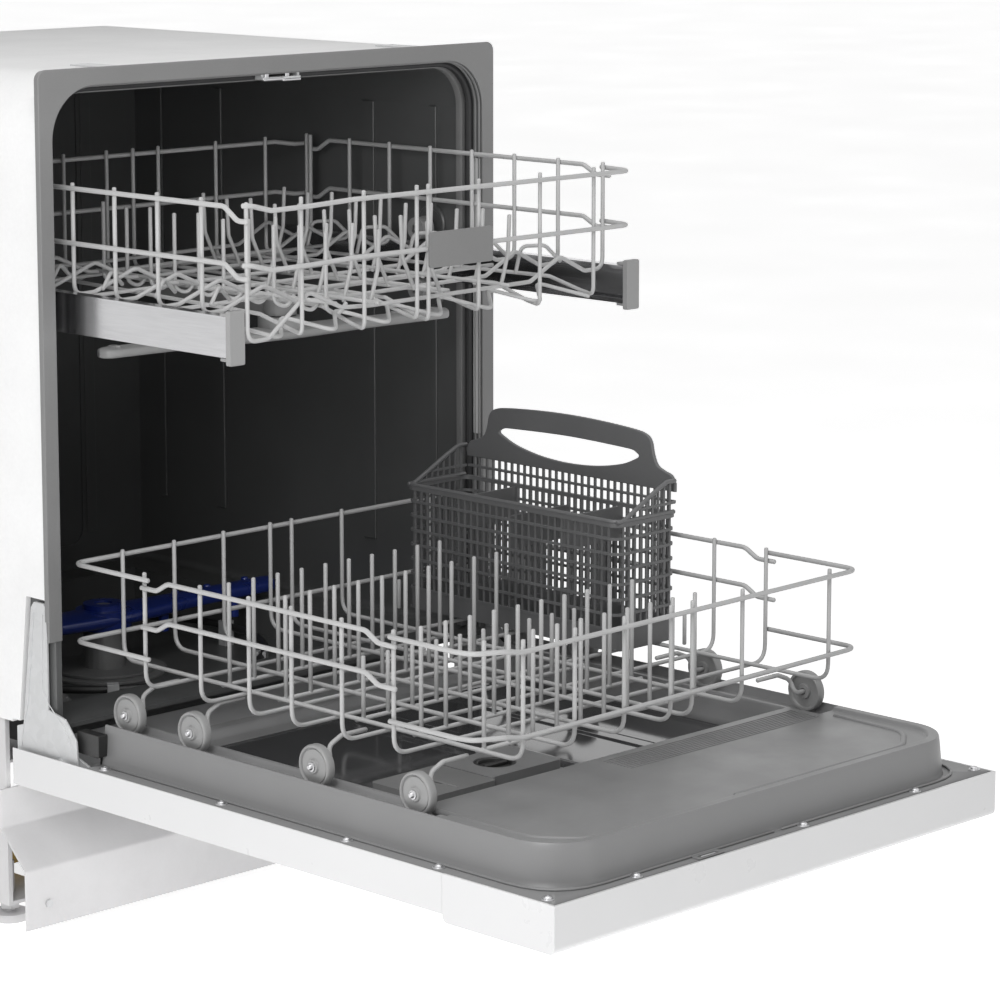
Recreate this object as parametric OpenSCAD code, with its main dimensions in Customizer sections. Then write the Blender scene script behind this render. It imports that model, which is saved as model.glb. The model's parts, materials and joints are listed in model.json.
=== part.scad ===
// Built-in dishwasher, door down and both racks pulled out.
// X runs to the right, Y runs back into the cabinet from the front face of the tub, Z is up from the floor.

/* [Cabinet] */
// Width over the front flange of the tub
unit_w = 600; // [598:1:602]
// Height of the tub above the floor
unit_h = 850; // [848:1:854]
// Depth from the front flange to the outside of the tub's back wall
tub_depth = 568; // [566:1:572]
// Thickness of the plastic tub wall
tub_wall = 4; // [3:0.5:5]
// Radius of the upper corners of the tub opening
opening_r = 50; // [40:1:60]

/* [Door] */
// Height of the hinge pin above the floor
hinge_z = 186; // [185:0.5:187]
// Length of the door from its hinge edge to its upper edge
door_len = 727.5; // [720:0.5:730]
// Thickness of the outer door pan
pan_t = 36; // [34:1:38]
// Thickness of the control console
console_t = 43; // [41:1:45]
// Height of the raised inner panel above the door border
rim_h = 38; // [36:1:40]

/* [Racks] */
// Diameter of the coated rack wires
wire_d = 4; // [3.4:0.2:4.4]
// Diameter of the heavier rim wires
rim_d = 4.8; // [4.2:0.2:5.2]
// Half of the distance between the two side walls of a rack
rack_half = 250; // [249:1:251]
// Front to back length of the lower rack
lower_len = 544; // [540:1:548]
// Front to back length of the upper rack
upper_len = 469; // [465:1:472]
// Diameter of the lower rack wheels
wheel_d = 40; // [38:1:40]

/* [Spray arms] */
// Length of the lower spray arm from tip to tip
lower_arm_len = 480; // [460:2:482]
// Length of the middle spray arm from tip to tip
middle_arm_len = 436; // [420:2:440]

/* [Cutlery basket] */
// Front to back length of the basket
basket_len = 296; // [290:1:298]
// Width of the basket
basket_w = 90; // [86:1:92]
// Height of the basket's near wall
basket_h = 128; // [124:1:132]

/* [Hidden] */
$fn = 48;

light_grey = [0.72, 0.72, 0.72];
mid_grey = [0.55, 0.55, 0.55];
basket_grey = [0.33, 0.34, 0.35];
tub_grey = [0.2, 0.2, 0.21];
black = [0.08, 0.08, 0.08];
door_white = [0.94, 0.94, 0.94];
galvanised = [0.78, 0.79, 0.8];
arm_blue = [0.1, 0.16, 0.5];
brass = [0.72, 0.6, 0.3];

half_w = unit_w / 2;
front_shift = 36;
wire_gap = 0.1;

// Tub
flange_bottom = 305;
return_y = 8;
bracket_top = 345;
opening_half = half_w - 17;
opening_top = unit_h - 18;
lip_z = 232;
ledge_z = 222;
inner_half = 280;
inner_front = 28;
inner_back = tub_depth - tub_wall;
inner_top = 826;
pit_half = 232;
pit_front = 74;
pit_back = 520;
pit_z = 178;
arm_y = 290;
heater_r = 172;
heater_gap = 18;
heater_pin_x = heater_r * sin(heater_gap);
heater_pin_y = arm_y + heater_r * cos(heater_gap);
feed_d = 20;
feed_z0 = 150;
feed_z1 = 600;
foot_x = 262;
foot_ys = [120, 530];
drain_x = -130;
drain_z = 92;

// Door, given in its open position
hinge_y = -8;
border_z = 193;
door_back = 60;
door_front = door_back - door_len;
pan_bottom = border_z - pan_t;
console_back = -534;
panel_half = 279;
panel_front = -650;
panel_back = -60;
rim_z = border_z + rim_h;
track_z = ledge_z;
track_in = 247;
track_out = 270;
recess_z = 199;
shelf_back = -458;
shelf_z = 220;

// Racks
lower_front = -530;
lower_back = lower_front + lower_len;
lower_top = 375;
lower_floor = 267;
upper_front = -232;
upper_back = upper_front + upper_len;
upper_top = 736;
upper_floor = 622;
axle_z = ledge_z + wheel_d / 2 + 0.6;
wheel_ys = [-73, -167, -335, -466];
rail_x = 262;
rail_z0 = 600;
rail_z1 = 638;
rail_front = -228;
rail_back = 290;
roller_y = 72;
roller_d = 24;

// Every piece is drawn from the front face of the tub; this puts the middle of the whole length at Y = 0
module placed() {
    translate([0, front_shift, 0]) children();
}

// A straight round bar between two points
module bar(a, b, d) {
    v = b - a;
    translate(a)
        rotate([0, acos(v.z / norm(v)), atan2(v.y, v.x)])
            cylinder(h = norm(v), d = d);
}

// A box given by its lowest and highest corners
module box(a, b) {
    translate(a) cube(b - a);
}

// Outline of a rectangle in X and Z with its own radius at the top and the bottom corners
module opening_outline(half, z0, z1, r_top, r_bottom) {
    difference() {
        translate([-half, z0]) square([2 * half, z1 - z0]);
        for (s = [-1, 1]) {
            translate([s * half, z1]) corner_cut(r_top, s, 1);
            translate([s * half, z0]) corner_cut(r_bottom, s, -1);
        }
    }
}

// The waste outside a rounded corner
module corner_cut(r, sx, sy) {
    difference() {
        translate([sx > 0 ? -r : -1, sy > 0 ? -r : -1]) square(r + 1);
        translate([-sx * r, -sy * r]) circle(r);
    }
}

// Extrudes an X and Z outline along Y
module along_y(y0, y1) {
    translate([0, y1, 0]) rotate([90, 0, 0]) linear_extrude(y1 - y0) children();
}

// Extrudes a Y and Z outline along X
module along_x(x0, x1) {
    translate([x0, 0, 0]) rotate([90, 0, 90]) linear_extrude(x1 - x0) children();
}

// Outline of a rectangle in X and Y with four equal corners
module plate_outline(x0, x1, y0, y1, r) {
    translate([x0 + r, y0]) square([x1 - x0 - 2 * r, y1 - y0]);
    translate([x0, y0 + r]) square([x1 - x0, y1 - y0 - 2 * r]);
    for (x = [x0 + r, x1 - r], y = [y0 + r, y1 - r]) translate([x, y]) circle(r);
}

module rounded_plate(x0, x1, y0, y1, r, z0, z1) {
    translate([0, 0, z0]) linear_extrude(z1 - z0) plate_outline(x0, x1, y0, y1, r);
}

// ---- Tub and base ----

module tub_shell() {
    color(tub_grey) placed() difference() {
        union() {
            along_y(3.2, tub_depth)
                opening_outline(inner_half + tub_wall + 5, ledge_z - tub_wall, inner_top + tub_wall + 5,
                    opening_r, 8);
            box([-pit_half - tub_wall, pit_front - tub_wall, pit_z - tub_wall],
                [pit_half + tub_wall, pit_back + tub_wall, ledge_z]);
        }
        along_y(-1, inner_front) opening_outline(opening_half, ledge_z, opening_top, opening_r, 8);
        along_y(inner_front - 1, inner_back)
            opening_outline(inner_half, ledge_z, inner_top, opening_r - 4, 8);
        box([-pit_half, pit_front, pit_z], [pit_half, pit_back, ledge_z + 1]);
        translate([0, arm_y, pit_z - 20]) cylinder(h = 40, d = 140);
        along_y(inner_back - 1, inner_back + 2) opening_outline(193, 250, 800, 20, 20);
        for (s = [-1, 1]) translate([s * heater_pin_x, heater_pin_y, pit_z - 10]) cylinder(h = 20, d = 9.4);
        translate([0, inner_back - 1, feed_z1]) rotate([-90, 0, 0]) cylinder(h = 10, d = feed_d + 0.6);
    }
}

module tub_flange() {
    color(mid_grey) placed() difference() {
        union() {
            along_y(0, 3) opening_outline(half_w, flange_bottom, unit_h, 10, 1);
            along_y(2, return_y) difference() {
                opening_outline(half_w - 1.5, flange_bottom + 20, unit_h - 1.5, 9, 1);
                opening_outline(half_w - 4, flange_bottom + 21, unit_h - 4, 8, 1);
                translate([-half_w, flange_bottom - 1]) square([unit_w, 24]);
            }
        }
        along_y(-1, 3.5) opening_outline(opening_half, flange_bottom - 10, opening_top, opening_r, 1);
    }
}

// Soft seal in the return of the tub opening, along both sides and the top
module tub_gasket() {
    color(black) placed() along_y(14, 22) difference() {
        opening_outline(opening_half - 0.2, lip_z + 30, opening_top - 0.2, opening_r, 1);
        opening_outline(opening_half - 7, lip_z + 29, opening_top - 7, opening_r - 7, 1);
    }
}

module insulation_blanket() {
    shell_half = inner_half + tub_wall + 5;
    shell_top = inner_top + tub_wall + 5;
    color(door_white) placed() difference() {
        along_y(return_y + 0.4, tub_depth + 8)
            opening_outline(shell_half + 6, ledge_z - 5, unit_h - 6, opening_r, 1);
        along_y(return_y, tub_depth + 0.3)
            opening_outline(shell_half + 0.3, ledge_z - 10, shell_top + 0.3, opening_r, 1);
        along_x(-half_w, half_w) polygon([[return_y, ledge_z - 10], [66, ledge_z - 10], [66, 220],
            [54, 220], [40, bracket_top], [return_y, bracket_top]]);
        for (s = [-1, 1]) box([s * 200 - 13, return_y, unit_h - 16], [s * 200 + 13, 12.4, unit_h]);
        box([-14, tub_depth, ledge_z - 10], [14, tub_depth + 9, feed_z1 + 14]);
    }
}

module base_frame() {
    outer = 286;
    rail_t = 6;
    rail_top = 214;
    color(door_white) placed() difference() {
        union() {
            for (s = [-1, 1]) box([s > 0 ? outer - rail_t : -outer, 90, 24],
                [s > 0 ? outer : rail_t - outer, 560, rail_top]);
            box([-outer, 554, 24], [outer, 560, rail_top]);
            box([-outer, 90, 24], [outer, 560, 28]);
        }
        box([-220, 130, 20], [220, 520, 30]);
        for (s = [-1, 1], y = foot_ys) translate([s * foot_x, y, 20]) cylinder(h = 20, d = 10.4);
        translate([drain_x, 550, drain_z]) rotate([-90, 0, 0]) cylinder(h = 20, d = 21);
        translate([0, 550, feed_z0]) rotate([-90, 0, 0]) cylinder(h = 20, d = feed_d + 2);
    }
}

module levelling_feet() {
    color(light_grey) placed() for (s = [-1, 1], y = foot_ys) translate([s * foot_x, y, 0]) {
        cylinder(h = 8, d = 38);
        cylinder(h = 60, d = 10);
        translate([0, 0, 12]) cylinder(h = 11.8, d = 20, $fn = 6);
    }
}

module sump() {
    color(tub_grey) placed() translate([0, arm_y, 0]) difference() {
        union() {
            translate([0, 0, 108]) cylinder(h = pit_z - 108 - tub_wall - 0.3, d = 168);
            translate([0, 0, pit_z - 12]) cylinder(h = 12, d = 139);
        }
        translate([0, 0, 113]) cylinder(h = 80, d = 130);
    }
}

module filter() {
    color(mid_grey) placed() translate([0, arm_y, 0]) difference() {
        union() {
            translate([0, 0, 130]) cylinder(h = pit_z - 130 + 0.3, d = 96);
            translate([0, 0, pit_z + 0.3]) cylinder(h = 3, d = 134);
        }
        translate([0, 0, 132]) cylinder(h = pit_z - 128, d = 90);
    }
}

module wash_pump() {
    color(galvanised) placed() {
        translate([0, arm_y, 96]) cylinder(h = 11.7, d = 120);
        translate([0, arm_y, 56]) cylinder(h = 39.7, d = 96);
        translate([0, arm_y, 46]) cylinder(h = 10, d = 60);
    }
}

module drain_pump() {
    color(black) placed() translate([drain_x, 380, drain_z]) rotate([-90, 0, 0]) {
        cylinder(h = 66, d = 58);
        translate([0, 0, 65]) cylinder(h = 150, d = 19);
    }
}

module inlet_valve() {
    color(brass) placed() difference() {
        union() {
            box([-240, 150, 44], [-196, 190, 84]);
            translate([-218, 150, 64]) rotate([90, 0, 0]) cylinder(h = 30, d = 24);
        }
        translate([-218, 151, 64]) rotate([90, 0, 0]) cylinder(h = 40, d = 17);
    }
}

module junction_box() {
    color(galvanised) placed() difference() {
        box([190, 150, 40], [270, 240, 100]);
        box([192, 152, 42], [268, 238, 98]);
        translate([230, 160, 70]) rotate([90, 0, 0]) cylinder(h = 20, d = 22.2);
    }
}

module heater_ring() {
    color(black) placed() {
        translate([0, arm_y, 200]) rotate([0, 0, 90 + heater_gap])
            rotate_extrude(angle = 360 - 2 * heater_gap) translate([heater_r, 0]) circle(d = 8);
        for (s = [-1, 1]) translate([s * heater_pin_x, heater_pin_y, 160]) cylinder(h = 45, d = 9);
    }
}

module heater_clips() {
    color(galvanised) placed() for (a = [234, 306, 180, 0]) translate([0, arm_y, 0]) rotate([0, 0, a])
        difference() {
        box([heater_r - 6, -6, pit_z + 0.1], [heater_r + 6, 6, 206]);
        translate([heater_r, 10, 200]) rotate([90, 0, 0]) cylinder(h = 20, d = 8.2);
        box([heater_r - 2, -7, 202], [heater_r + 2, 7, 207]);
    }
}

module lower_spray_tower() {
    color(mid_grey) placed() translate([0, arm_y, 0]) difference() {
        union() {
            translate([0, 0, pit_z + 3.6]) cylinder(h = 3, d = 110);
            translate([0, 0, pit_z + 6]) cylinder(h = 42, d = 44);
            translate([0, 0, pit_z + 47]) cylinder(h = 26, d = 17.6);
        }
        translate([0, 0, pit_z]) cylinder(h = 70, d = 12);
    }
}

// Riser on the outside of the back wall, from the sump to the nozzle that feeds the upper rack
module feed_tube() {
    tube_y = tub_depth + 13;
    outside = [[0, arm_y + 84.3, feed_z0], [0, tube_y, feed_z0], [0, tube_y, feed_z1],
        [0, inner_back - 19, feed_z1]];
    color(mid_grey) placed() difference() {
        union() {
            for (i = [0:2]) bar(outside[i], outside[i + 1], feed_d);
            for (i = [1, 2]) translate(outside[i]) sphere(d = feed_d);
        }
        for (i = [0:2]) bar(outside[i], outside[i + 1], feed_d - 6);
        bar(outside[3] - [0, 1, 0], outside[3] + [0, 1, 0], feed_d - 6);
    }
}

function bracket_points() = [
    [11, 335], [15, 341], [30, 341], [35, 335], [50, 217], [60, 214], [60, 186], [40, 172],
    [-22, 172], [-33, 182], [-31, 214], [-14, 233], [11, 238]
];

module hinge_brackets() {
    color(galvanised) placed() for (s = [-1, 1]) difference() {
        union() {
            along_x(s > 0 ? 291.5 : -294, s > 0 ? 294 : -291.5) polygon(bracket_points());
            along_x(s > 0 ? 289.3 : -294, s > 0 ? 294 : -289.3)
                polygon([[18, 333], [24, 333], [32, 250], [26, 250]]);
        }
        translate([s * 280, hinge_y, hinge_z]) rotate([0, s * 90, 0]) cylinder(h = 20, d = 8);
    }
}

module hinge_pins() {
    color(galvanised) placed() for (s = [-1, 1]) translate([s * 283.6, hinge_y, hinge_z])
        rotate([0, s * 90, 0]) {
        cylinder(h = 14.6, d = 7.9);
        translate([0, 0, 10.6]) cylinder(h = 3.4, d = 15);
    }
}

module counterbalance_springs() {
    coil_d = 5;
    coils = 34;
    color(galvanised) placed() for (s = [-1, 1]) translate([s * 266, 150, 120]) rotate([-90, 0, 0])
        rotate_extrude() for (i = [0:coils - 1]) translate([7, i * coil_d * 0.92])
            circle(d = coil_d, $fn = 16);
}

module toe_panel() {
    color(door_white) placed() difference() {
        along_x(-half_w + 4, half_w - 4) polygon([
            [50, 8], [52, 8], [52, 68], [89, 105], [89, 145], [87, 145], [87, 106], [50, 69]
        ]);
        for (s = [-1, 1]) translate([s * 268, 60, 32]) rotate([90, 0, 0]) cylinder(h = 20, d = 4.4);
    }
}

module toe_screws() {
    color(galvanised) placed() for (s = [-1, 1]) translate([s * 268, 49.9, 32]) rotate([90, 0, 0]) {
        translate([0, 0, -8]) cylinder(h = 8.2, d = 4);
        cylinder(h = 2, d = 8);
    }
}

module countertop_brackets() {
    color(galvanised) placed() for (s = [-1, 1]) difference() {
        union() {
            box([s * 200 - 12, return_y + 0.2, unit_h - 3.5], [s * 200 + 12, 62, unit_h - 2]);
            box([s * 200 - 12, return_y + 0.2, unit_h - 8], [s * 200 + 12, return_y + 2.2, unit_h - 2]);
        }
        translate([s * 200, 50, unit_h - 10]) cylinder(h = 20, d = 5);
    }
}

module door_strike() {
    color(galvanised) placed() {
        difference() {
            box([-20, 2, opening_top - 6], [30, 13.5, opening_top - 4]);
            box([-8, 4, opening_top - 7], [18, 11, opening_top - 3]);
        }
        for (x = [-20, 27]) box([x, 4, opening_top - 4.1], [x + 3, 13.5, opening_top - 0.1]);
    }
}

module roller_axles() {
    color(galvanised) placed()
        for (s = [-1, 1], z = [rail_z0 - roller_d / 2 - 1, rail_z1 + roller_d / 2 + 1])
        translate([s * 253, roller_y, z]) rotate([0, s * 90, 0]) cylinder(h = inner_half - 253, d = 6);
}

module float_cap() {
    color(mid_grey) placed() translate([-200, 118, 0]) {
        translate([0, 0, pit_z + 20]) cylinder(h = 14, d = 30);
        translate([0, 0, pit_z + 34]) cylinder(h = 4, d = 24);
        translate([0, 0, pit_z + 0.4]) cylinder(h = 20, d = 10);
    }
}

module lower_spray_arm() {
    arm_r = lower_arm_len / 2;
    color(arm_blue) placed() translate([0, arm_y, 0]) difference() {
        union() {
            translate([0, 0, 230]) linear_extrude(16) {
                polygon([[-arm_r + 17, -17], [-60, -30], [60, -30], [arm_r - 17, -17],
                         [arm_r - 17, 17], [60, 30], [-60, 30], [-arm_r + 17, 17]]);
                for (s = [-1, 1]) translate([s * (arm_r - 17), 0]) circle(17);
            }
            translate([0, 0, 227]) cylinder(h = 27, d = 60);
            for (x = [75, 175, -75, -175]) translate([x, x > 0 ? -10 : 10, 212]) cylinder(h = 20, d = 11);
        }
        translate([0, 0, 220]) cylinder(h = 32, d = 17.8);
        for (x = [-205, -150, -105, 105, 150, 205])
            translate([x, x > 0 ? 6 : -6, 240]) cylinder(h = 10, d = 5);
    }
}

module roller_pair(z) {
    color(mid_grey) placed() for (s = [-1, 1]) translate([s * 254, roller_y, z]) rotate([0, s * 90, 0])
        difference() {
        union() {
            cylinder(h = 16, d = roller_d);
            translate([0, 0, 12]) cylinder(h = 4, d = roller_d + 1);
        }
        translate([0, 0, -1]) cylinder(h = 20, d = 6.2);
    }
}

module wall_rollers_upper() {
    roller_pair(rail_z1 + roller_d / 2 + 1);
}

module wall_rollers_lower() {
    roller_pair(rail_z0 - roller_d / 2 - 1);
}

// ---- Door ----

module door_pan() {
    sheet = 1.2;
    color(door_white) placed() difference() {
        box([-half_w, console_back, pan_bottom], [half_w, door_back, border_z]);
        box([-half_w + sheet, console_back - 1, pan_bottom + sheet],
            [half_w - sheet, door_back - sheet, border_z + 1]);
        for (s = [-1, 1]) box([s * 293.4 - 5.2, -48, border_z - 24],
            [s * 293.4 + 5.2, door_back + 1, border_z + 1]);
    }
}

button_xs = [-190, 190];
button_d = 18;

module door_console() {
    skin = 2.5;
    bottom = border_z - console_t;
    depth = console_back - 0.3 - door_front;
    color(door_white) placed() difference() {
        along_x(-half_w, half_w) {
            translate([door_front, bottom + 6]) square([depth, console_t - 6]);
            translate([door_front + 6, bottom]) square([depth - 12, console_t]);
            for (y = [door_front + 6, door_front + depth - 6]) translate([y, bottom + 6]) circle(6);
        }
        box([-half_w + skin, door_front + skin, bottom + skin],
            [half_w - skin, console_back + 1, border_z + 1]);
        for (x = button_xs) translate([x, -600, bottom - 1]) cylinder(h = 10, d = button_d + 0.8);
        box([-90, -640, bottom - 1], [90, -585, bottom + 0.6]);
    }
}

module door_inner_panel() {
    wall = 2.5;
    rim_r = 55;
    color(mid_grey) placed() difference() {
        union() {
            box([-half_w + 3, door_front + 3.5, border_z - 2], [half_w - 3, -50, border_z]);
            rounded_plate(-panel_half, panel_half, panel_front, panel_back + rim_r, rim_r, border_z - 1,
                rim_z);
        }
        box([-half_w, panel_back, border_z - 3], [half_w, 20, rim_z + 1]);
        rounded_plate(-panel_half + wall, panel_half - wall, panel_front + wall, panel_back + rim_r,
            rim_r - wall,
                      border_z - 3, border_z + 1);
        for (s = [-1, 1])
            box([s > 0 ? track_in : -track_out, -495, track_z],
                [s > 0 ? track_out : -track_in, panel_back + 1, rim_z + 1]);
        box([-track_in + 6, shelf_back, recess_z], [track_in - 6, panel_back + 14, rim_z + 1]);
        rounded_plate(-262, 262, panel_front + 14, shelf_back + 20, 40, shelf_z, rim_z + 1);
        for (i = [0:6]) box([-200, -600 + i * 18, shelf_z - 0.8], [200, -597 + i * 18, shelf_z + 1]);
        for (s = [-1, 1]) box([s > 0 ? track_out + 5 : -panel_half + wall, panel_front + 60, border_z],
            [s > 0 ? panel_half - wall : -track_out - 5, panel_back - 4, rim_z - 3]);
        box([-240, -636, border_z + 0.5], [240, -470, shelf_z - 3.5]);
        box([-190.5, -405, recess_z - 4], [-9.5, -326.5, recess_z + 1]);
        box([-114, -660, border_z - 3], [-84, -655, border_z + 1]);
        for (p = screw_places()) translate([p[0], p[1], border_z - 6]) cylinder(h = 12, d = 4.2);
    }
}

function screw_places() = concat(
    [for (s = [-1, 1], y = [-68, -236, -404, -520, -650]) [s * 290, y]],
    [for (x = [-190, 30, 190]) [x, -658]]
);

module door_insulation() {
    color(black) placed() box([-286, -520, pan_bottom + 2], [286, -60, border_z - 6]);
}

module panel_screws() {
    color(galvanised) placed() for (p = screw_places()) translate([p[0], p[1], border_z]) {
        cylinder(h = 0.8, d = 11);
        translate([0, 0, 0.8]) cylinder(h = 2.2, d1 = 8, d2 = 5);
        translate([0, 0, -5]) cylinder(h = 5.4, d = 4);
    }
}

module dispenser_body() {
    color(mid_grey) placed() difference() {
        union() {
            rounded_plate(-190, -10, -398, -327, 4, recess_z - 3.8, 204);
            rounded_plate(-103, -10, -398, -327, 4, 203, 213);
        }
        rounded_plate(-176, -116, -388, -337, 8, recess_z - 2, 205);
        translate([-62, -361, 206]) cylinder(h = 10, d = 40.6);
    }
}

module dispenser_lid() {
    color(mid_grey) placed() difference() {
        rounded_plate(-190, -103.5, -405, -328, 5, 204.4, 212.4);
        rounded_plate(-184, -108, -396, -332, 4, 203, 209);
        rounded_plate(-150, -144, -380, -345, 2.9, 211, 214);
    }
}

module rinse_cap() {
    color(basket_grey) placed() translate([-62, -361, 0]) {
        difference() {
            translate([0, 0, 206.4]) cylinder(h = 6, d = 40);
            translate([0, 0, 209]) cylinder(h = 10, d = 34);
        }
        box([-15, -2.5, 208], [15, 2.5, 212]);
    }
}

module door_seal() {
    color(black) placed() box([-274, -49.6, border_z - 4], [274, -42, border_z + 8]);
}

module hinge_arms() {
    color(galvanised) placed() for (s = [-1, 1]) difference() {
        along_x(s > 0 ? 288 : -290.9, s > 0 ? 290.9 : -288) {
            polygon([[-48, 172], [30, 172], [30, 190], [2, 200], [-20, 200], [-48, 190.5]]);
            translate([-180, 172]) square([140, 14]);
        }
        translate([s * 280, hinge_y, hinge_z]) rotate([0, s * 90, 0]) cylinder(h = 20, d = 8);
    }
}

module hinge_blocks() {
    color(black) placed() for (s = [-1, 1])
        box([s > 0 ? 276 : -287.5, -56.5, border_z + 8.3], [s > 0 ? 287.5 : -276, -24, border_z + 30]);
}

module control_board() {
    bottom = border_z - console_t;
    color([0.1, 0.35, 0.2]) placed() {
        box([-220, -625, bottom + 14], [220, -560, bottom + 16]);
        box([-60, -610, bottom + 16], [-20, -580, bottom + 28]);
        box([60, -612, bottom + 16], [84, -576, bottom + 32]);
    }
}

module button(x) {
    bottom = border_z - console_t;
    translate([x, -600, bottom - 1.6]) cylinder(h = 12, d = button_d);
    translate([x, -600, bottom + 5]) cylinder(h = 1.6, d = button_d + 3);
}

module start_button() {
    color(mid_grey) placed() button(button_xs[0]);
}

module cycle_button() {
    color(mid_grey) placed() button(button_xs[1]);
}

// ---- Upper rack and its rails ----

module upper_rails() {
    lip = 8;
    t = 1.6;
    color(galvanised) placed() for (s = [-1, 1]) along_y(rail_front, rail_back) scale([s, 1]) {
        translate([rail_x + 4 - t, rail_z0]) square([t, rail_z1 - rail_z0]);
        for (z = [rail_z0, rail_z1 - t]) translate([rail_x - lip, z]) square([lip + 3, t]);
        for (z = [rail_z0, rail_z1 - 5]) translate([rail_x - lip, z]) square([t, 5]);
    }
}

module rail_end_caps() {
    color(light_grey) placed() for (s = [-1, 1]) {
        box([s * rail_x - 9, rail_front - 6, rail_z0 - 6], [s * rail_x + 9, rail_front - 0.1, rail_z1 + 6]);
        for (z = [rail_z0 - 3, rail_z1 + 0.2])
            box([s * rail_x - 6, rail_front - 1, z], [s * rail_x + 6, rail_front + 12, z + 2.8]);
    }
}

// The side rim runs straight and drops at both ends; the end rim wraps round both corners
module rack_rims(half, front, back, z_side, z_end, tail, joggle) {
    x_rim = half + (wire_d + rim_d) / 2 + wire_gap;
    bend = 12;
    drop = 9;
    for (s = [-1, 1]) {
        y0 = front + tail + joggle;
        y1 = back - tail - joggle;
        bar([s * x_rim, y0 + 1, z_side], [s * x_rim, y1 - 1, z_side], rim_d);
        for (e = [[y0, -1], [y1, 1]]) {
            bar([s * x_rim, e[0] + e[1] * 1, z_side - 1],
                [s * x_rim, e[0] + e[1] * 15, z_side - drop + 1], rim_d);
            bar([s * x_rim, e[0] + e[1] * 17, z_side - drop],
                [s * x_rim, e[0] + e[1] * joggle, z_side - drop], rim_d);
        }
    }
    for (e = [[front, 1], [back, -1]], z = z_end) {
        y_rim = e[0] - e[1] * ((wire_d + rim_d) / 2 + wire_gap);
        bar([-x_rim + bend, y_rim, z], [x_rim - bend, y_rim, z], rim_d);
        for (s = [-1, 1]) {
            bar([s * (x_rim - bend + 1.5), y_rim + e[1] * 1.5, z],
                [s * (x_rim - 1.5), y_rim + e[1] * (bend - 1.5), z], rim_d);
            bar([s * x_rim, y_rim + e[1] * (bend + 1), z], [s * x_rim, e[0] + e[1] * (tail + 12), z],
                rim_d);
        }
    }
}

// Upright, chamfered corner, floor wire, chamfered corner and upright, in the X and Z plane
module side_wires(half, ys, z_floor, z_top, bend = 8) {
    gap = wire_d * 0.22;
    for (y = ys) {
        for (s = [-1, 1]) {
            bar([s * half, y, z_floor + bend + gap], [s * half, y, z_top], wire_d);
            bar([s * half - s * gap, y, z_floor + bend - gap],
                [s * half - s * (bend - gap), y, z_floor + gap], wire_d);
        }
        bar([-half + bend + gap, y, z_floor], [half - bend - gap, y, z_floor], wire_d);
    }
}

module lengthwise_wires(xs, front, back, z_floor, z_top, bend = 8) {
    gap = wire_d * 0.22;
    for (x = xs) {
        for (e = [[front, 1], [back, -1]]) {
            bar([x, e[0], z_floor + bend + gap], [x, e[0], z_top], wire_d);
            bar([x, e[0] + e[1] * gap, z_floor + bend - gap],
                [x, e[0] + e[1] * (bend - gap), z_floor + gap], wire_d);
        }
        bar([x, front + bend + gap, z_floor], [x, back - bend - gap, z_floor], wire_d);
    }
}

upper_side_ys = [for (i = [0:6]) -172 + i * 62];
upper_end_xs = [-182, -104, -36, -18, 52, 134, 208];
// Each row of pins: its X, its first Y from the front wires, and how many pins it has
upper_pin_rows = [[-112, 44, 10], [-66, 20, 5], [12, 36, 10], [110, 22, 10]];
pin_pitch = 36.4;

module upper_rack_rims() {
    color(light_grey) placed() {
        rack_rims(rack_half, upper_front, upper_back, upper_top, [upper_top - 1], 32, 26);
        rack_rims(rack_half, upper_front, upper_back, upper_top - 52, [upper_top - 56], 32, 26);
    }
}

module upper_rack_sides() {
    color(light_grey) placed() {
        side_wires(rack_half, upper_side_ys, upper_floor + 9, upper_top + 3);
        for (s = [-1, 1], y = [upper_front + 32, upper_back - 32])
            bar([s * rack_half, y, upper_floor + 6], [s * rack_half, y, upper_top + 3], wire_d);
    }
}

module upper_rack_floor() {
    tine_base = upper_floor + 9 + 1.5 * wire_d + 2 * wire_gap;
    color(light_grey) placed() {
        lengthwise_wires(upper_end_xs, upper_front, upper_back, upper_floor, upper_top + 3);
        for (row = upper_pin_rows) {
            x = row[0];
            y0 = upper_front + row[1];
            bar([x, y0 - 10, tine_base - wire_d / 2 - wire_gap],
                [x, y0 + (row[2] - 1) * pin_pitch + 10, tine_base - wire_d / 2 - wire_gap], wire_d);
            for (i = [0:row[2] - 1]) bar([x, y0 + i * pin_pitch, tine_base],
                [x + (i % 2 == 0 ? 6 : -6), y0 + i * pin_pitch, tine_base + 62], wire_d);
        }
    }
}

module badge_plate() {
    y_face = upper_front - wire_d / 2 - rim_d - wire_gap - 2.4;
    color(mid_grey) placed() rotate([90, 0, 0])
        rounded_plate(-28, 56, upper_top - 74, upper_top - 40, 3, -y_face - 2, -y_face);
}

module middle_manifold() {
    color(mid_grey) placed() {
        difference() {
            union() {
                box([-15, 10, 594], [15, upper_back - 6, 606]);
                translate([0, 3, 592]) cylinder(h = 16, d = 34);
                translate([0, 3, 584]) cylinder(h = 10, d = 14);
            }
            box([-12, 14, 597], [12, upper_back - 5, 603]);
        }
    }
}

module middle_spray_arm() {
    arm_r = middle_arm_len / 2;
    color(light_grey) placed() translate([0, 3, 0]) rotate([0, 0, -4]) difference() {
        union() {
            translate([0, 0, 568]) linear_extrude(11) {
                polygon([[-arm_r + 13, -13], [-45, -24], [45, -24], [arm_r - 13, -13],
                         [arm_r - 13, 13], [45, 24], [-45, 24], [-arm_r + 13, 13]]);
                for (s = [-1, 1]) translate([s * (arm_r - 13), 0]) circle(13);
            }
            translate([0, 0, 579]) cylinder(h = 12, d = 44);
        }
        translate([0, 0, 583]) cylinder(h = 20, d = 14.2);
        for (x = [-200, -150, -100, 100, 150, 200]) translate([x, x > 0 ? 4 : -4, 575])
            cylinder(h = 10, d = 6);
    }
}

// ---- Lower rack ----

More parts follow.
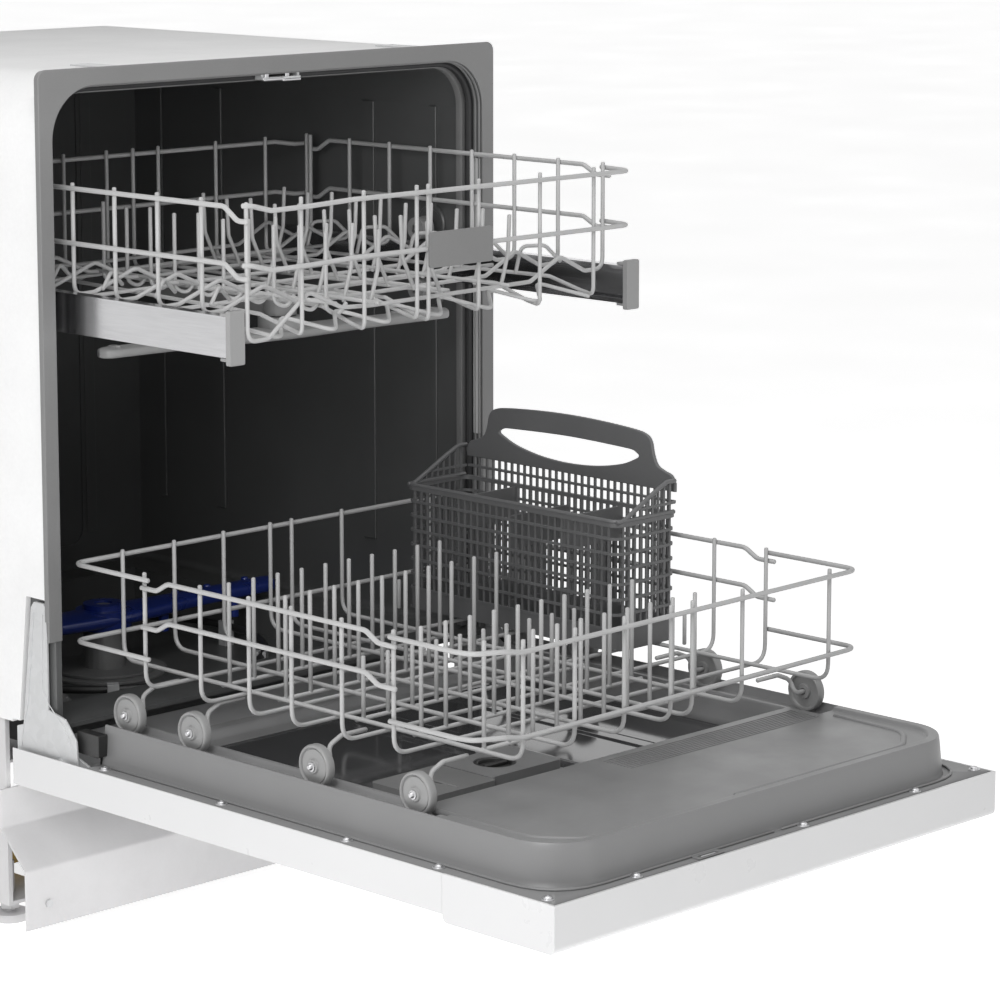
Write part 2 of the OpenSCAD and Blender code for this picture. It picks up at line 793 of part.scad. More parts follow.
lower_side_ys = [-423, -356, -289, -231, -163, -83];
lower_end_xs = [-196, -131, -68, -6, 23, 93, 217];

module lower_rack_rims() {
    color(light_grey) placed() {
        rack_rims(rack_half, lower_front, lower_back, lower_top, [lower_top - 1, lower_top - 77], 98, 40);
        x_rim = rack_half + (wire_d + rim_d) / 2 + wire_gap;
        for (s = [-1, 1])
            bar([s * x_rim, lower_front + 98, lower_top - 38],
                [s * x_rim, lower_back - 90, lower_top - 38], rim_d);
    }
}

module lower_rack_sides() {
    color(light_grey) placed() side_wires(rack_half, lower_side_ys, lower_floor, lower_top + 3);
}

module lower_rack_floor() {
    tine_base = lower_floor + wire_d / 2 + wire_gap;
    pitch = 31;
    color(light_grey) placed() {
        lengthwise_wires(lower_end_xs, lower_front, lower_back, lower_floor + wire_d + wire_gap,
            lower_top + 3);
        for (row = [[-124, 10], [-204, 10], [-310, 50], [-386, 10], [-466, 10]]) {
            for (i = [0:9]) bar([i * pitch - 181, row[0], tine_base],
                [i * pitch - 181, row[0], lower_top - row[1]], wire_d);
            bar([-190, row[0], tine_base - wire_d / 2 - wire_gap],
                [110, row[0], tine_base - wire_d / 2 - wire_gap], wire_d);
        }
    }
}

// Bent ends of the floor wires that carry the wheels
module wheel_stubs() {
    color(light_grey) placed() for (s = [-1, 1], y = wheel_ys) {
        bar([s * 243, y, axle_z], [s * 266, y, axle_z], 6);
        bar([s * 246, y, axle_z], [s * 246, y, lower_floor - wire_d / 2 - wire_gap], wire_d);
    }
}

module wheel_pair(y) {
    color(light_grey) placed() for (s = [-1, 1]) translate([s * 257, y, axle_z]) rotate([0, s * 90, 0])
        difference() {
        union() {
            cylinder(h = 9, d = wheel_d);
            cylinder(h = 11, d = 13);
        }
        translate([0, 0, 8]) difference() {
            cylinder(h = 2, d = wheel_d - 5);
            translate([0, 0, -1]) cylinder(h = 4, d = 13);
        }
        translate([0, 0, -1]) cylinder(h = 14, d = 6.2);
    }
}

module lower_wheels_a() {
    wheel_pair(wheel_ys[0]);
}

module lower_wheels_b() {
    wheel_pair(wheel_ys[1]);
}

module lower_wheels_c() {
    wheel_pair(wheel_ys[2]);
}

module lower_wheels_d() {
    wheel_pair(wheel_ys[3]);
}

// ---- Cutlery basket ----

basket_x0 = 151;
basket_x1 = basket_x0 + basket_w;
basket_y0 = -317;
basket_y1 = basket_y0 + basket_len;
basket_z = lower_floor + 1.5 * wire_d + 2 * wire_gap + 0.6;

module basket_shell() {
    t = 2.4;
    rim = basket_z + basket_h;
    color(basket_grey) placed() {
        difference() {
            rounded_plate(basket_x0, basket_x1 - 4, basket_y0, basket_y1, 12, basket_z, rim);
            rounded_plate(basket_x0 + t, basket_x1 + 20, basket_y0 + t, basket_y1 - t, 10, basket_z + t,
                rim + 1);
        }
        for (y = [basket_y0 + 74, basket_y0 + 222])
            box([basket_x0 + t - 0.1, y, basket_z + t - 0.1], [basket_x1 - 4, y + 1.8, rim - 6]);
        box([basket_x0 + t - 0.1, basket_y0 + 148, basket_z + t - 0.1],
            [basket_x1 - 4, basket_y0 + 149.8, rim - 14]);
    }
}

module basket_handle() {
    top = basket_z + basket_h + 77;
    color(basket_grey) placed() along_x(basket_x1 - 3.6, basket_x1) difference() {
        union() {
            translate([basket_y0 + 8, basket_z]) square([basket_len - 16, basket_h + 30]);
            translate([basket_y0 + 34, basket_z + basket_h]) square([basket_len - 74, 68]);
            translate([basket_y0 + 46, basket_z + basket_h]) square([basket_len - 98, 77]);
            for (y = [basket_y0 + 46, basket_y1 - 52]) translate([y, top - 12]) circle(12);
        }
        for (y = [basket_y0 + 65, basket_y1 - 65]) translate([y, basket_z + basket_h + 46]) circle(10);
        translate([basket_y0 + 65, basket_z + basket_h + 36]) square([basket_len - 130, 20]);
    }
}

tub_shell();
tub_flange();
tub_gasket();
insulation_blanket();
base_frame();
levelling_feet();
sump();
filter();
wash_pump();
drain_pump();
inlet_valve();
junction_box();
heater_ring();
heater_clips();
lower_spray_tower();
feed_tube();
hinge_brackets();
hinge_pins();
counterbalance_springs();
toe_panel();
toe_screws();
countertop_brackets();
door_strike();
roller_axles();
float_cap();
lower_spray_arm();
wall_rollers_upper();
wall_rollers_lower();
door_pan();
door_console();
door_inner_panel();
door_insulation();
panel_screws();
dispenser_body();
dispenser_lid();
rinse_cap();
door_seal();
hinge_arms();
hinge_blocks();
control_board();
start_button();
cycle_button();
upper_rails();
rail_end_caps();
upper_rack_rims();
upper_rack_sides();
upper_rack_floor();
badge_plate();
middle_manifold();
middle_spray_arm();
lower_rack_rims();
lower_rack_sides();
lower_rack_floor();
wheel_stubs();
lower_wheels_a();
lower_wheels_b();
lower_wheels_c();
lower_wheels_d();
basket_shell();
basket_handle();
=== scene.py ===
import json
import math

import bpy
from mathutils import Matrix, Vector


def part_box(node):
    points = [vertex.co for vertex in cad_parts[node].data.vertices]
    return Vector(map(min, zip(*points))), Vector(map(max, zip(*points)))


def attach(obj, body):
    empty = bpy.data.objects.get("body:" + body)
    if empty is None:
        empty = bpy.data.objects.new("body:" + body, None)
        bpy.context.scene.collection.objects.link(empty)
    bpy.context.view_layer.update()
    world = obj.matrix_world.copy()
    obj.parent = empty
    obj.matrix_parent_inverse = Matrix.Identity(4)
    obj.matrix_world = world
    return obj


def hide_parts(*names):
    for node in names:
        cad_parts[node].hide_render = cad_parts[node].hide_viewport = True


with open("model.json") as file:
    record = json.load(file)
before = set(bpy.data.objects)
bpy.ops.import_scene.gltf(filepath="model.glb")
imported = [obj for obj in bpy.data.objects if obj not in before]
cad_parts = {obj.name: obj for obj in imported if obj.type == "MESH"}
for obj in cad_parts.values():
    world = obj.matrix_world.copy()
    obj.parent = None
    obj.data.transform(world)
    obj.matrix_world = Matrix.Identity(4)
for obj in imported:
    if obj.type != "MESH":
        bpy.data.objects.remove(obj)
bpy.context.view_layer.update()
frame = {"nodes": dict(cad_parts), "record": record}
nodes = frame["nodes"]
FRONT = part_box("tub_flange")[0].y * 1000
MM = 0.001


def at(x, y, z):
    """A point given in millimetres from the front face of the tub."""
    return Vector((x * MM, (y + FRONT) * MM, z * MM))


# ---------------------------------------------------------------- materials

def material(name, colour, rough, metallic=0.0, tone=0.06, tone_scale=9.0, grain=180.0, bump=0.12,
             coat=0.0, stretch=(1, 1, 1), spangle=0.0, corner_shade=0.0, ior=1.5):
    """Plastic, paint or metal: uneven tone and gloss, a fine grain and, on request, spangle and painted shade that
    darkens corners and creases.
    """
    mat = bpy.data.materials.new(name)
    mat.use_nodes = True
    nt = mat.node_tree
    nt.nodes.clear()
    out = nt.nodes.new("ShaderNodeOutputMaterial")
    sh = nt.nodes.new("ShaderNodeBsdfPrincipled")
    nt.links.new(sh.outputs[0], out.inputs[0])
    sh.inputs["Metallic"].default_value = metallic
    sh.inputs["IOR"].default_value = ior
    sh.inputs["Coat Weight"].default_value = coat
    sh.inputs["Coat Roughness"].default_value = 0.12
    co = nt.nodes.new("ShaderNodeTexCoord")
    mp = nt.nodes.new("ShaderNodeMapping")
    mp.inputs["Scale"].default_value = stretch
    nt.links.new(co.outputs["Object"], mp.inputs[0])

    def noise(scale, detail, rough_=0.55):
        n = nt.nodes.new("ShaderNodeTexNoise")
        n.inputs["Scale"].default_value = scale
        n.inputs["Detail"].default_value = detail
        n.inputs["Roughness"].default_value = rough_
        nt.links.new(mp.outputs[0], n.inputs["Vector"])
        return n

    def ramp(src, a, b, pos=(0.3, 0.7)):
        r = nt.nodes.new("ShaderNodeValToRGB")
        r.color_ramp.elements[0].position, r.color_ramp.elements[1].position = pos
        r.color_ramp.elements[0].color, r.color_ramp.elements[1].color = a, b
        nt.links.new(src, r.inputs[0])
        return r

    def mix(kind, fac, a, b):
        m = nt.nodes.new("ShaderNodeMix")
        m.data_type = "RGBA"
        m.blend_type = kind
        if isinstance(fac, float):
            m.inputs[0].default_value = fac
        else:
            nt.links.new(fac, m.inputs[0])
        nt.links.new(a, m.inputs[6])
        nt.links.new(b, m.inputs[7])
        return m.outputs[2]

    def shade(k):
        return tuple(max(0.0, min(1.0, c * k)) for c in colour) + (1,)

    big = noise(tone_scale, 4)
    col = ramp(big.outputs["Fac"], shade(1 - tone), shade(1 + tone)).outputs[0]
    fine = noise(grain, 3)
    specks = ramp(fine.outputs["Fac"], shade(1 - tone * 0.8), shade(1 + tone * 0.8)).outputs[0]
    col = mix("MIX", 0.35, col, specks)
    if spangle:
        vo = nt.nodes.new("ShaderNodeTexVoronoi")
        vo.inputs["Scale"].default_value = 130
        nt.links.new(mp.outputs[0], vo.inputs["Vector"])
        flakes = ramp(vo.outputs["Color"], shade(1 - spangle), shade(1 + spangle), (0.1, 0.9)).outputs[0]
        col = mix("MIX", 0.6, col, flakes)
    # painted shade: ambient occlusion darkens the base colour in corners, creases and between parts
    if corner_shade:
        ao = nt.nodes.new("ShaderNodeAmbientOcclusion")
        ao.inputs["Distance"].default_value = 0.02
        shadow = ramp(ao.outputs["AO"], (1 - corner_shade,) * 3 + (1,), (1, 1, 1, 1), (0.15, 0.85))
        col = mix("MULTIPLY", 0.4, col, shadow.outputs[0])
    nt.links.new(col, sh.inputs["Base Color"])
    rr = ramp(noise(tone_scale * 2.3, 5).outputs["Fac"],
              (rough * 0.82,) * 3 + (1,), (min(1, rough * 1.18),) * 3 + (1,))
    nt.links.new(rr.outputs[0], sh.inputs["Roughness"])
    bp = nt.nodes.new("ShaderNodeBump")
    bp.inputs["Strength"].default_value = bump
    bp.inputs["Distance"].default_value = 0.0004
    nt.links.new(fine.outputs["Fac"], bp.inputs["Height"])
    nt.links.new(bp.outputs[0], sh.inputs["Normal"])
    return mat


MATS = {
    "tub_dark": material("tub_plastic", (0.105, 0.107, 0.107), 0.34, tone=0.08, grain=700, bump=0.06, coat=0.1),
    "frame_grey": material("grey_plastic", (0.2, 0.2, 0.2), 0.42, grain=650, bump=0.1, corner_shade=0.3),
    "panel_grey": material("door_liner", (0.225, 0.225, 0.227), 0.4, tone=0.04, grain=800, bump=0.06, corner_shade=0.25),
    "door_white": material("door_enamel", (0.68, 0.68, 0.685), 0.32, tone=0.012, grain=420, bump=0.08, coat=0.3),
    "toe_white": material("toe_enamel", (0.62, 0.615, 0.62), 0.5, tone=0.03, tone_scale=40, grain=380, bump=0.2),
    "rack_wire": material("nylon_coat", (0.47, 0.47, 0.47), 0.48, tone=0.05, tone_scale=30, grain=900,
                          bump=0.15, corner_shade=0.3),
    "soft_black": material("seal_rubber", (0.025, 0.025, 0.026), 0.6, tone=0.15, grain=900, bump=0.2),
    "plastic_black": material("black_plastic", (0.02, 0.02, 0.02), 0.45, tone=0.15, grain=700, bump=0.15),
    "galvanised": material("zinc_sheet", (0.56, 0.565, 0.57), 0.5, 0.3, tone=0.05, tone_scale=26, grain=420,
                           bump=0.2, spangle=0.07),
    "rail_steel": material("brushed_rail", (0.6, 0.6, 0.61), 0.2, 1.0, tone=0.12, tone_scale=26, grain=500,
                           bump=0.25, stretch=(1, 0.06, 1)),
    "bright_steel": material("bright_steel", (0.55, 0.55, 0.56), 0.36, 1.0, tone=0.06, grain=600, bump=0.1),
    "arm_blue": material("blue_plastic", (0.012, 0.03, 0.21), 0.3, tone=0.12, grain=600, bump=0.1, coat=0.3),
    "light_plastic": material("pale_plastic", (0.3, 0.3, 0.3), 0.42, tone=0.05, grain=700, bump=0.12, corner_shade=0.35),
    "basket_grey": material("basket_plastic", (0.13, 0.131, 0.133), 0.46, tone=0.08, grain=700, bump=0.18),
    "board_green": material("circuit_board", (0.03, 0.2, 0.07), 0.4, tone=0.2, grain=300),
    "brass": material("brass_body", (0.6, 0.42, 0.14), 0.3, 1.0, tone=0.1),
    "blanket": material("felt", (0.86, 0.86, 0.86), 0.95, tone=0.05, grain=260, bump=0.5),
    "deep_gloss": material("liner_gloss", (0.062, 0.062, 0.064), 0.07, tone=0.06, tone_scale=14, grain=500,
                           bump=0.012, ior=1.8),
    "label": material("label_paper", (0.6, 0.6, 0.6), 0.55, tone=0.05, grain=900, bump=0.1),
}
for row in frame["record"]["subparts"]:
    node = nodes[row["node"]]
    node.data.materials.clear()
    node.data.materials.append(MATS[row["material_slot"]])


# ---------------------------------------------------------------- mesh helpers


def as_piece(name, me, body, slot, mat, sharp):
    """Gives a mesh its material and smooth shading and puts it on a body as a piece."""
    me.materials.append(MATS[mat or slot])
    ob = bpy.data.objects.new(name, me)
    bpy.context.scene.collection.objects.link(ob)
    me.polygons.foreach_set("use_smooth", [True] * len(me.polygons))
    me.set_sharp_from_angle(angle=math.radians(sharp))
    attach(ob, body)
    return ob


def add_mesh(name, verts, faces, body, slot, mat=None, sharp=35):
    me = bpy.data.meshes.new(name)
    me.from_pydata([tuple(v) for v in verts], [], faces)
    me.validate()
    return as_piece(name, me, body, slot, mat, sharp)


def fillet(points, radius, steps=6):
    """The polyline with every inner corner rounded."""
    pts = [Vector(p) for p in points]
    out = [pts[0]]
    for a, b, c in zip(pts, pts[1:], pts[2:]):
        u, w = (a - b), (c - b)
        lu, lw = u.length, w.length
        u.normalize(), w.normalize()
        ang = u.angle(w)
        if ang > math.radians(178):
            out.append(b)
            continue
        cut = min(radius / math.tan(ang / 2), lu * 0.48, lw * 0.48)
        p0, p1 = b + u * cut, b + w * cut
        for i in range(steps + 1):
            t = i / steps
            out.append(p0 * (1 - t) ** 2 + b * 2 * t * (1 - t) + p1 * t ** 2)
    out.append(pts[-1])
    return out


def sweep(paths, sides=10):
    """Round wires along (points, radius) paths, in metres, with domed ends."""
    verts, faces = [], []
    for pts, r in paths:
        tang = []
        for i in range(len(pts)):
            a, b = pts[max(i - 1, 0)], pts[min(i + 1, len(pts) - 1)]
            tang.append((b - a).normalized())
        first, last = pts[0], pts[-1]
        rings = [(first - tang[0] * r * 0.45, 0.45 * r, tang[0]), (first - tang[0] * r * 0.3, 0.78 * r, tang[0])]
        rings += [(p, r, t) for p, t in zip(pts, tang)]
        rings += [(last + tang[-1] * r * 0.3, 0.78 * r, tang[-1]), (last + tang[-1] * r * 0.45, 0.45 * r, tang[-1])]
        n = Vector((0, 0, 1)) if abs(tang[0].z) < 0.9 else Vector((1, 0, 0))
        base = len(verts)
        for p, rad, t in rings:
            n = (n - t * n.dot(t)).normalized()
            m = t.cross(n)
            for k in range(sides):
                a = 2 * math.pi * k / sides
                verts.append(p + n * (rad * math.cos(a)) + m * (rad * math.sin(a)))
        for i in range(len(rings) - 1):
            for k in range(sides):
                k2 = (k + 1) % sides
                faces.append((base + i * sides + k, base + i * sides + k2,
                              base + (i + 1) * sides + k2, base + (i + 1) * sides + k))
        faces.append(tuple(base + k for k in reversed(range(sides))))
        faces.append(tuple(base + (len(rings) - 1) * sides + k for k in range(sides)))
    return verts, faces


def wires(name, paths, diameter, body, slot="rack_wire", bend=10.0, sides=10):
    """Wires whose corner points are given in millimetres from the front face of the tub."""
    made = []
    for p in paths:
        pts, dia = (p if isinstance(p, tuple) else (p, diameter))
        made.append((fillet([at(*q) for q in pts], bend * MM), dia * MM / 2))
    verts, faces = sweep(made, sides)
    return add_mesh(name, verts, faces, body, slot, sharp=60)


def lathe(profile, centre, axis, segments=56):
    """Turns a closed (radius, height) outline, in millimetres, round an axis through centre."""
    z = Vector(axis).normalized()
    x = Vector((0, 0, 1)) if abs(z.z) < 0.9 else Vector((1, 0, 0))
    x = (x - z * x.dot(z)).normalized()
    y = z.cross(x)
    verts, faces = [], []
    n = len(profile)
    for i in range(segments):
        a = 2 * math.pi * i / segments
        d = x * math.cos(a) + y * math.sin(a)
        for r, h in profile:
            verts.append(centre + d * (r * MM) + z * (h * MM))
    for i in range(segments):
        j = (i + 1) % segments
        for k in range(n):
            l = (k + 1) % n
            faces.append((i * n + k, j * n + k, j * n + l, i * n + l))
    return verts, faces


def merge(*parts):
    verts, faces = [], []
    for v, f in parts:
        b = len(verts)
        verts += list(v)
        faces += [tuple(b + i for i in q) for q in f]
    return verts, faces


def slab(a, b, soft=0.0):
    """A box between two points in millimetres, with its edges cut off by soft."""
    lo, hi = at(*a), at(*b)
    s = soft * MM
    if not s:
        v = [Vector((x, y, z)) for x in (lo.x, hi.x) for y in (lo.y, hi.y) for z in (lo.z, hi.z)]
        return v, [(0, 1, 3, 2), (4, 6, 7, 5), (0, 4, 5, 1), (2, 3, 7, 6), (0, 2, 6, 4), (1, 5, 7, 3)]
    xs = [lo.x, lo.x + s, hi.x - s, hi.x]
    ys = [lo.y, lo.y + s, hi.y - s, hi.y]
    zs = [(lo.z, 1), (lo.z + s, 0), (hi.z - s, 0), (hi.z, 1)]
    v, f = [], []
    for z, ins in zs:
        k = 1 if ins else 0
        x0, x1, y0, y1 = xs[k], xs[3 - k], ys[k], ys[3 - k]
        c = 0 if ins else s * 0.6
        v += [Vector(p) for p in ((x0 + c, y0, z), (x1 - c, y0, z), (x1, y0 + c, z), (x1, y1 - c, z),
                                  (x1 - c, y1, z), (x0 + c, y1, z), (x0, y1 - c, z), (x0, y0 + c, z))]
    for i in range(3):
        for k in range(8):
            f.append((i * 8 + k, i * 8 + (k + 1) % 8, (i + 1) * 8 + (k + 1) % 8, (i + 1) * 8 + k))
    f.append(tuple(reversed(range(8))))
    f.append(tuple(range(24, 32)))
    return v, f


def round_rect(x0, x1, y0, y1, r, steps=8):
    out = []
    for cx, cy, a0 in ((x1 - r, y0 + r, -90), (x1 - r, y1 - r, 0), (x0 + r, y1 - r, 90), (x0 + r, y0 + r, 180)):
        for i in range(steps + 1):
            a = math.radians(a0 + 90 * i / steps)
            out.append((cx + r * math.cos(a), cy + r * math.sin(a)))
    return out


def sheet_cut(name, outlines, plane, depth0, depth1, body, slot, bevel=0.6, mat=None):
    """A flat plate cut to the outlines, holes included, with rounded edges. plane is xy, xz or yz."""
    cu = bpy.data.curves.new(name, "CURVE")
    cu.dimensions = "2D"
    cu.fill_mode = "BOTH"
    cu.extrude = max((depth1 - depth0) / 2 - bevel, 0.01) * MM
    cu.bevel_depth = bevel * MM
    cu.bevel_resolution = 2
    cu.offset = -bevel * MM
    for pts in outlines:
        sp = cu.splines.new("POLY")
        sp.points.add(len(pts) - 1)
        for q, p in zip(sp.points, pts):
            q.co = (p[0] * MM, p[1] * MM, 0, 1)
        sp.use_cyclic_u = True
    tmp = bpy.data.objects.new(name + "_curve", cu)
    bpy.context.scene.collection.objects.link(tmp)
    bpy.context.view_layer.update()
    me = bpy.data.meshes.new_from_object(tmp)
    bpy.data.objects.remove(tmp)
    mid = (depth0 + depth1) / 2
    f = FRONT * MM
    if plane == "xy":
        m = Matrix(((1, 0, 0, 0), (0, 1, 0, f), (0, 0, 1, mid * MM), (0, 0, 0, 1)))
    elif plane == "xz":
        m = Matrix(((1, 0, 0, 0), (0, 0, -1, mid * MM + f), (0, 1, 0, 0), (0, 0, 0, 1)))
    else:
        m = Matrix(((0, 0, 1, mid * MM), (1, 0, 0, f), (0, 1, 0, 0), (0, 0, 0, 1)))
    me.transform(m)
    me.name = name
    me.materials.clear()
    return as_piece(name, me, body, slot, mat, 30)


def ribbon(name, path, section, body, slot, mat=None):
    """Sweeps a section (offset outward from the path, depth) along an XZ path of (x, z, nx, nz) points."""
    verts, faces = [], []
    m = len(section)
    for x, z, nx, nz in path:
        for o, d in section:
            verts.append(at(x + nx * o, d, z + nz * o))
    for i in range(len(path) - 1):
        for k in range(m):
            l = (k + 1) % m
            faces.append((i * m + k, i * m + l, (i + 1) * m + l, (i + 1) * m + k))
    faces.append(tuple(range(m)))
    faces.append(tuple(reversed(range((len(path) - 1) * m, len(path) * m))))
    return add_mesh(name, verts, faces, body, slot, mat=mat)


def opening_path(bottom, steps=14):
    """Up the left side of the tub opening, over the top and down the right side, with outward normals."""
    half, top, r = OPEN_HALF, OPEN_TOP, OPEN_R
    out = [(-half, bottom, -1, 0), (-half, top - r, -1, 0)]
    for i in range(1, steps + 1):
        a = math.radians(180 - 90 * i / steps)
        out.append((-half + r + r * math.cos(a), top - r + r * math.sin(a), math.cos(a), math.sin(a)))
    for i in range(steps + 1):
        a = math.radians(90 - 90 * i / steps)
        out.append((half - r + r * math.cos(a), top - r + r * math.sin(a), math.cos(a), math.sin(a)))
    out.append((half, bottom, 1, 0))
    return out


def soften(name, width):
    """Rounds the edges of a CAD piece that stays on show."""
    ob = nodes[name]
    weld = ob.modifiers.new("weld", "WELD")
    weld.merge_threshold = 0.00002
    bev = ob.modifiers.new("edges", "BEVEL")
    bev.width = width * MM
    bev.segments = 2
    bev.limit_method = "ANGLE"
    bev.angle_limit = math.radians(35)
    bev.harden_normals = True
    bev.use_clamp_overlap = True


# ---------------------------------------------------------------- tub front

FLANGE_FOOT, CORNER_Z = 305.5, 840
OPEN_HALF, OPEN_TOP, OPEN_R = 283, 832, 50


def arc(cx, cz, r, start, stop, step):
    """Points of an arc, given in whole degrees."""
    return [(cx + r * math.cos(math.radians(a)), cz + r * math.sin(math.radians(a)))
            for a in range(start, stop, step)]


front = sheet_cut("tub_front_frame", [
    [(-299.5, FLANGE_FOOT), (-299.5, CORNER_Z)] + arc(-290, CORNER_Z, 9.5, 180, 89, -10)
    + arc(290, CORNER_Z, 9.5, 90, -1, -10) + [(299.5, FLANGE_FOOT), (OPEN_HALF, FLANGE_FOOT)]
    + arc(OPEN_HALF - OPEN_R, OPEN_TOP - OPEN_R, OPEN_R, 0, 91, 6)
    + arc(OPEN_R - OPEN_HALF, OPEN_TOP - OPEN_R, OPEN_R, 90, 181, 6)
    + [(-OPEN_HALF, FLANGE_FOOT)]], "xz", 0, 3, "tub", "frame_grey", bevel=1.2)
outer = [(-298.5, 325, -1, 0), (-298.5, CORNER_Z, -1, 0)]
for x, start, stop in ((-289.5, 170, 89), (289.5, 90, -1)):
    outer += [(*p, *n) for p, n in zip(arc(x, 839.5, 9, start, stop, -10), arc(0, 0, 1, start, stop, -10))]
outer += [(298.5, 325, 1, 0)]
ribbon("tub_front_return", outer, [(0, 1.5), (0, 7.2), (-0.8, 8), (-2.2, 7.4), (-2.2, 1.5)], "tub", "frame_grey")
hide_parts("tub_flange")

seal = ribbon("tub_seal", opening_path(262),
              [(-0.2, 14), (-3.4, 13.6), (-5.6, 15), (-6.6, 17.5), (-5.8, 20.2), (-3.6, 21.8), (-0.2, 22)],
              "tub", "soft_black")
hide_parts("tub_gasket")
for i, (y0, h, w) in enumerate(((3.4, 1.5, 3), (9.2, 1.3, 3), (23, 8.5, 9))):
    ribbon(f"opening_bead_{i}", opening_path(226),
           [(-0.1, y0), (-h + 0.6, y0 + 0.3), (-h, y0 + 1.5), (-h + 0.6, y0 + w - 0.3), (-0.1, y0 + w)], "tub",
           "tub_dark" if i == 2 else "frame_grey", mat="frame_grey")

# Pressed ribs of the tub's back and side walls
TUB_SIDE, TUB_BACK = 280, 564
ribs = []
for x in (-205, 205):
    ribs.append(slab((x - 7, TUB_BACK - 1.8, 262), (x + 7, TUB_BACK, 792), 0.8))
for s in (-1, 1):
    for y, w in ((70, 5), (170, 9), (420, 9), (520, 5)):
        x0, x1 = sorted((s * (TUB_SIDE - 2.4), s * TUB_SIDE))
        ribs.append(slab((x0, y - w, 300), (x1, y + w, 780), 1.1))
v, f = merge(*ribs)
add_mesh("tub_wall_ribs", v, f, "tub", "tub_dark")

# Bosses behind the wall rollers, and the heads of the rollers' pins
ROLLER_Y = 72
bosses = []
for s in (-1, 1):
    for z in (655, 583):
        bosses.append(lathe([(0.1, 0), (19, 0), (20, 0.6), (20, 2.4), (18.6, 3.4), (15.6, 3.4), (14.8, 2.6),
                             (0.1, 2.6)], at(s * TUB_SIDE, ROLLER_Y, z), (-s, 0, 0)))
v, f = merge(*bosses)
add_mesh("roller_bosses", v, f, "tub", "tub_dark")
pins = [lathe([(0.1, 0), (3.9, 0), (4.2, 0.2), (3.6, 0.6), (0.1, 0.7)], at(s * 253, ROLLER_Y, z), (-s, 0, 0), 20)
        for s in (-1, 1) for z in (651, 587)]
v, f = merge(*pins)
add_mesh("roller_pin_heads", v, f, "tub", "bright_steel")

# Catch for the door lock in the top of the frame
catch = [slab((-19, 1.4, 824.6), (8, 6, 827.2), 0.6), slab((-16, 3, 827), (-11, 7, 832), 0.6),
         slab((6, 1.2, 823.4), (30, 5.4, 825.8), 0.6), slab((12, 4, 826), (17, 8, 832), 0.6)]
catch.append(lathe([(0.1, 0), (2.2, 0), (2.2, 22), (0.1, 22)], at(-14, 6, 826), (1, 0, 0), 16))
v, f = merge(*catch)
add_mesh("door_catch", v, f, "tub", "bright_steel")
for i, (z0, z1) in enumerate(((696, 728), (640, 690), (436, 634))):
    sheet_cut(f"blank_label_{i}", [round_rect(3.4, 13.2, z0, z1, 1.2, 4)], "yz", 282.1, 282.7, "tub", "label",
              bevel=0.12)

# ---------------------------------------------------------------- base

# CAD pieces that stay on show, with the width of their rounded edges
for name, w in (("hinge_brackets", 0.7), ("base_frame", 0.8), ("door_pan", 0.45), ("door_console", 0.7),
                ("hinge_arms", 0.4), ("hinge_blocks", 1.2), ("upper_rails", 0.35), ("rail_end_caps", 1.4),
                ("badge_plate", 0.6), ("middle_manifold", 1.5), ("toe_screws", 0.4), ("levelling_feet", 0.8),
                ("dispenser_body", 1.2), ("dispenser_lid", 0.9), ("junction_box", 0.8),
                ("countertop_brackets", 0.3), ("float_cap", 1.2), ("heater_clips", 0.4),
                ("lower_spray_tower", 1.0), ("filter", 0.5)):
    soften(name, w)

# Two pressed lines on each hinge bracket
marks = []
for s in (-1, 1):
    x = s * 294.2
    marks.append(([(x, 17, 330), (x, 19, 256), (x, 10, 244), (x, -12, 226), (x, -24, 208)], 1.0))
    marks.append(([(x, 30, 330), (x, 42, 240), (x, 52, 206), (x, 52, 196)], 1.0))
wires("hinge_bracket_pressings", marks, 1.1, "tub", "galvanised", bend=8)

# Toe panel: one folded sheet with rounded bends and hemmed ends
fold = fillet([(50.6, 9, 0), (50.6, 68.5, 0), (87.6, 105.5, 0), (87.6, 144.4, 0)], 5, 5)
verts, faces = [], []
stations = [-296, -295, -294] + [-292 + 14.6 * i for i in range(41)] + [294, 295, 296]
for i, x in enumerate(stations):
    hem = {0: 0.7, 1: 0.2, len(stations) - 2: 0.2, len(stations) - 1: 0.7}.get(i, 0)
    loop = []
    for k, p in enumerate(fold):
        a, b = fold[max(k - 1, 0)], fold[min(k + 1, len(fold) - 1)]
        t = (b - a).normalized()
        loop.append((p.x - t.y * (0.6 - hem), p.y + t.x * (0.6 - hem)))
    for k, p in reversed(list(enumerate(fold))):
        a, b = fold[max(k - 1, 0)], fold[min(k + 1, len(fold) - 1)]
        t = (b - a).normalized()
        loop.append((p.x + t.y * (0.9 - hem), p.y - t.x * (0.9 - hem)))
    verts += [at(x, y, z) for y, z in loop]
m = len(fold) * 2
for i in range(len(stations) - 1):
    for k in range(m):
        faces.append((i * m + k, (i + 1) * m + k, (i + 1) * m + (k + 1) % m, i * m + (k + 1) % m))
faces.append(tuple(range(m)))
faces.append(tuple(reversed(range((len(stations) - 1) * m, len(stations) * m))))
toe = add_mesh("toe_sheet", verts, faces, "tub", "toe_white", sharp=50)
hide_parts("toe_panel")

# ---------------------------------------------------------------- door liner

def smooth(t):
    t = max(0.0, min(1.0, t))
    return t * t * (3 - 2 * t)


def inside(x, y, x0, x1, y0, y1, r):
    """Signed distance into a rounded rectangle, positive inside."""
    cx, cy, hx, hy = (x0 + x1) / 2, (y0 + y1) / 2, (x1 - x0) / 2, (y1 - y0) / 2
    qx, qy = abs(x - cx) - hx + r, abs(y - cy) - hy + r
    return r - math.hypot(max(qx, 0), max(qy, 0)) - min(max(qx, qy), 0)


# Border, front shelf and deep floor of the liner, above the ground
BORDER_Z, SHELF_Z, DEEP_Z = 193.0, 227.8, 199


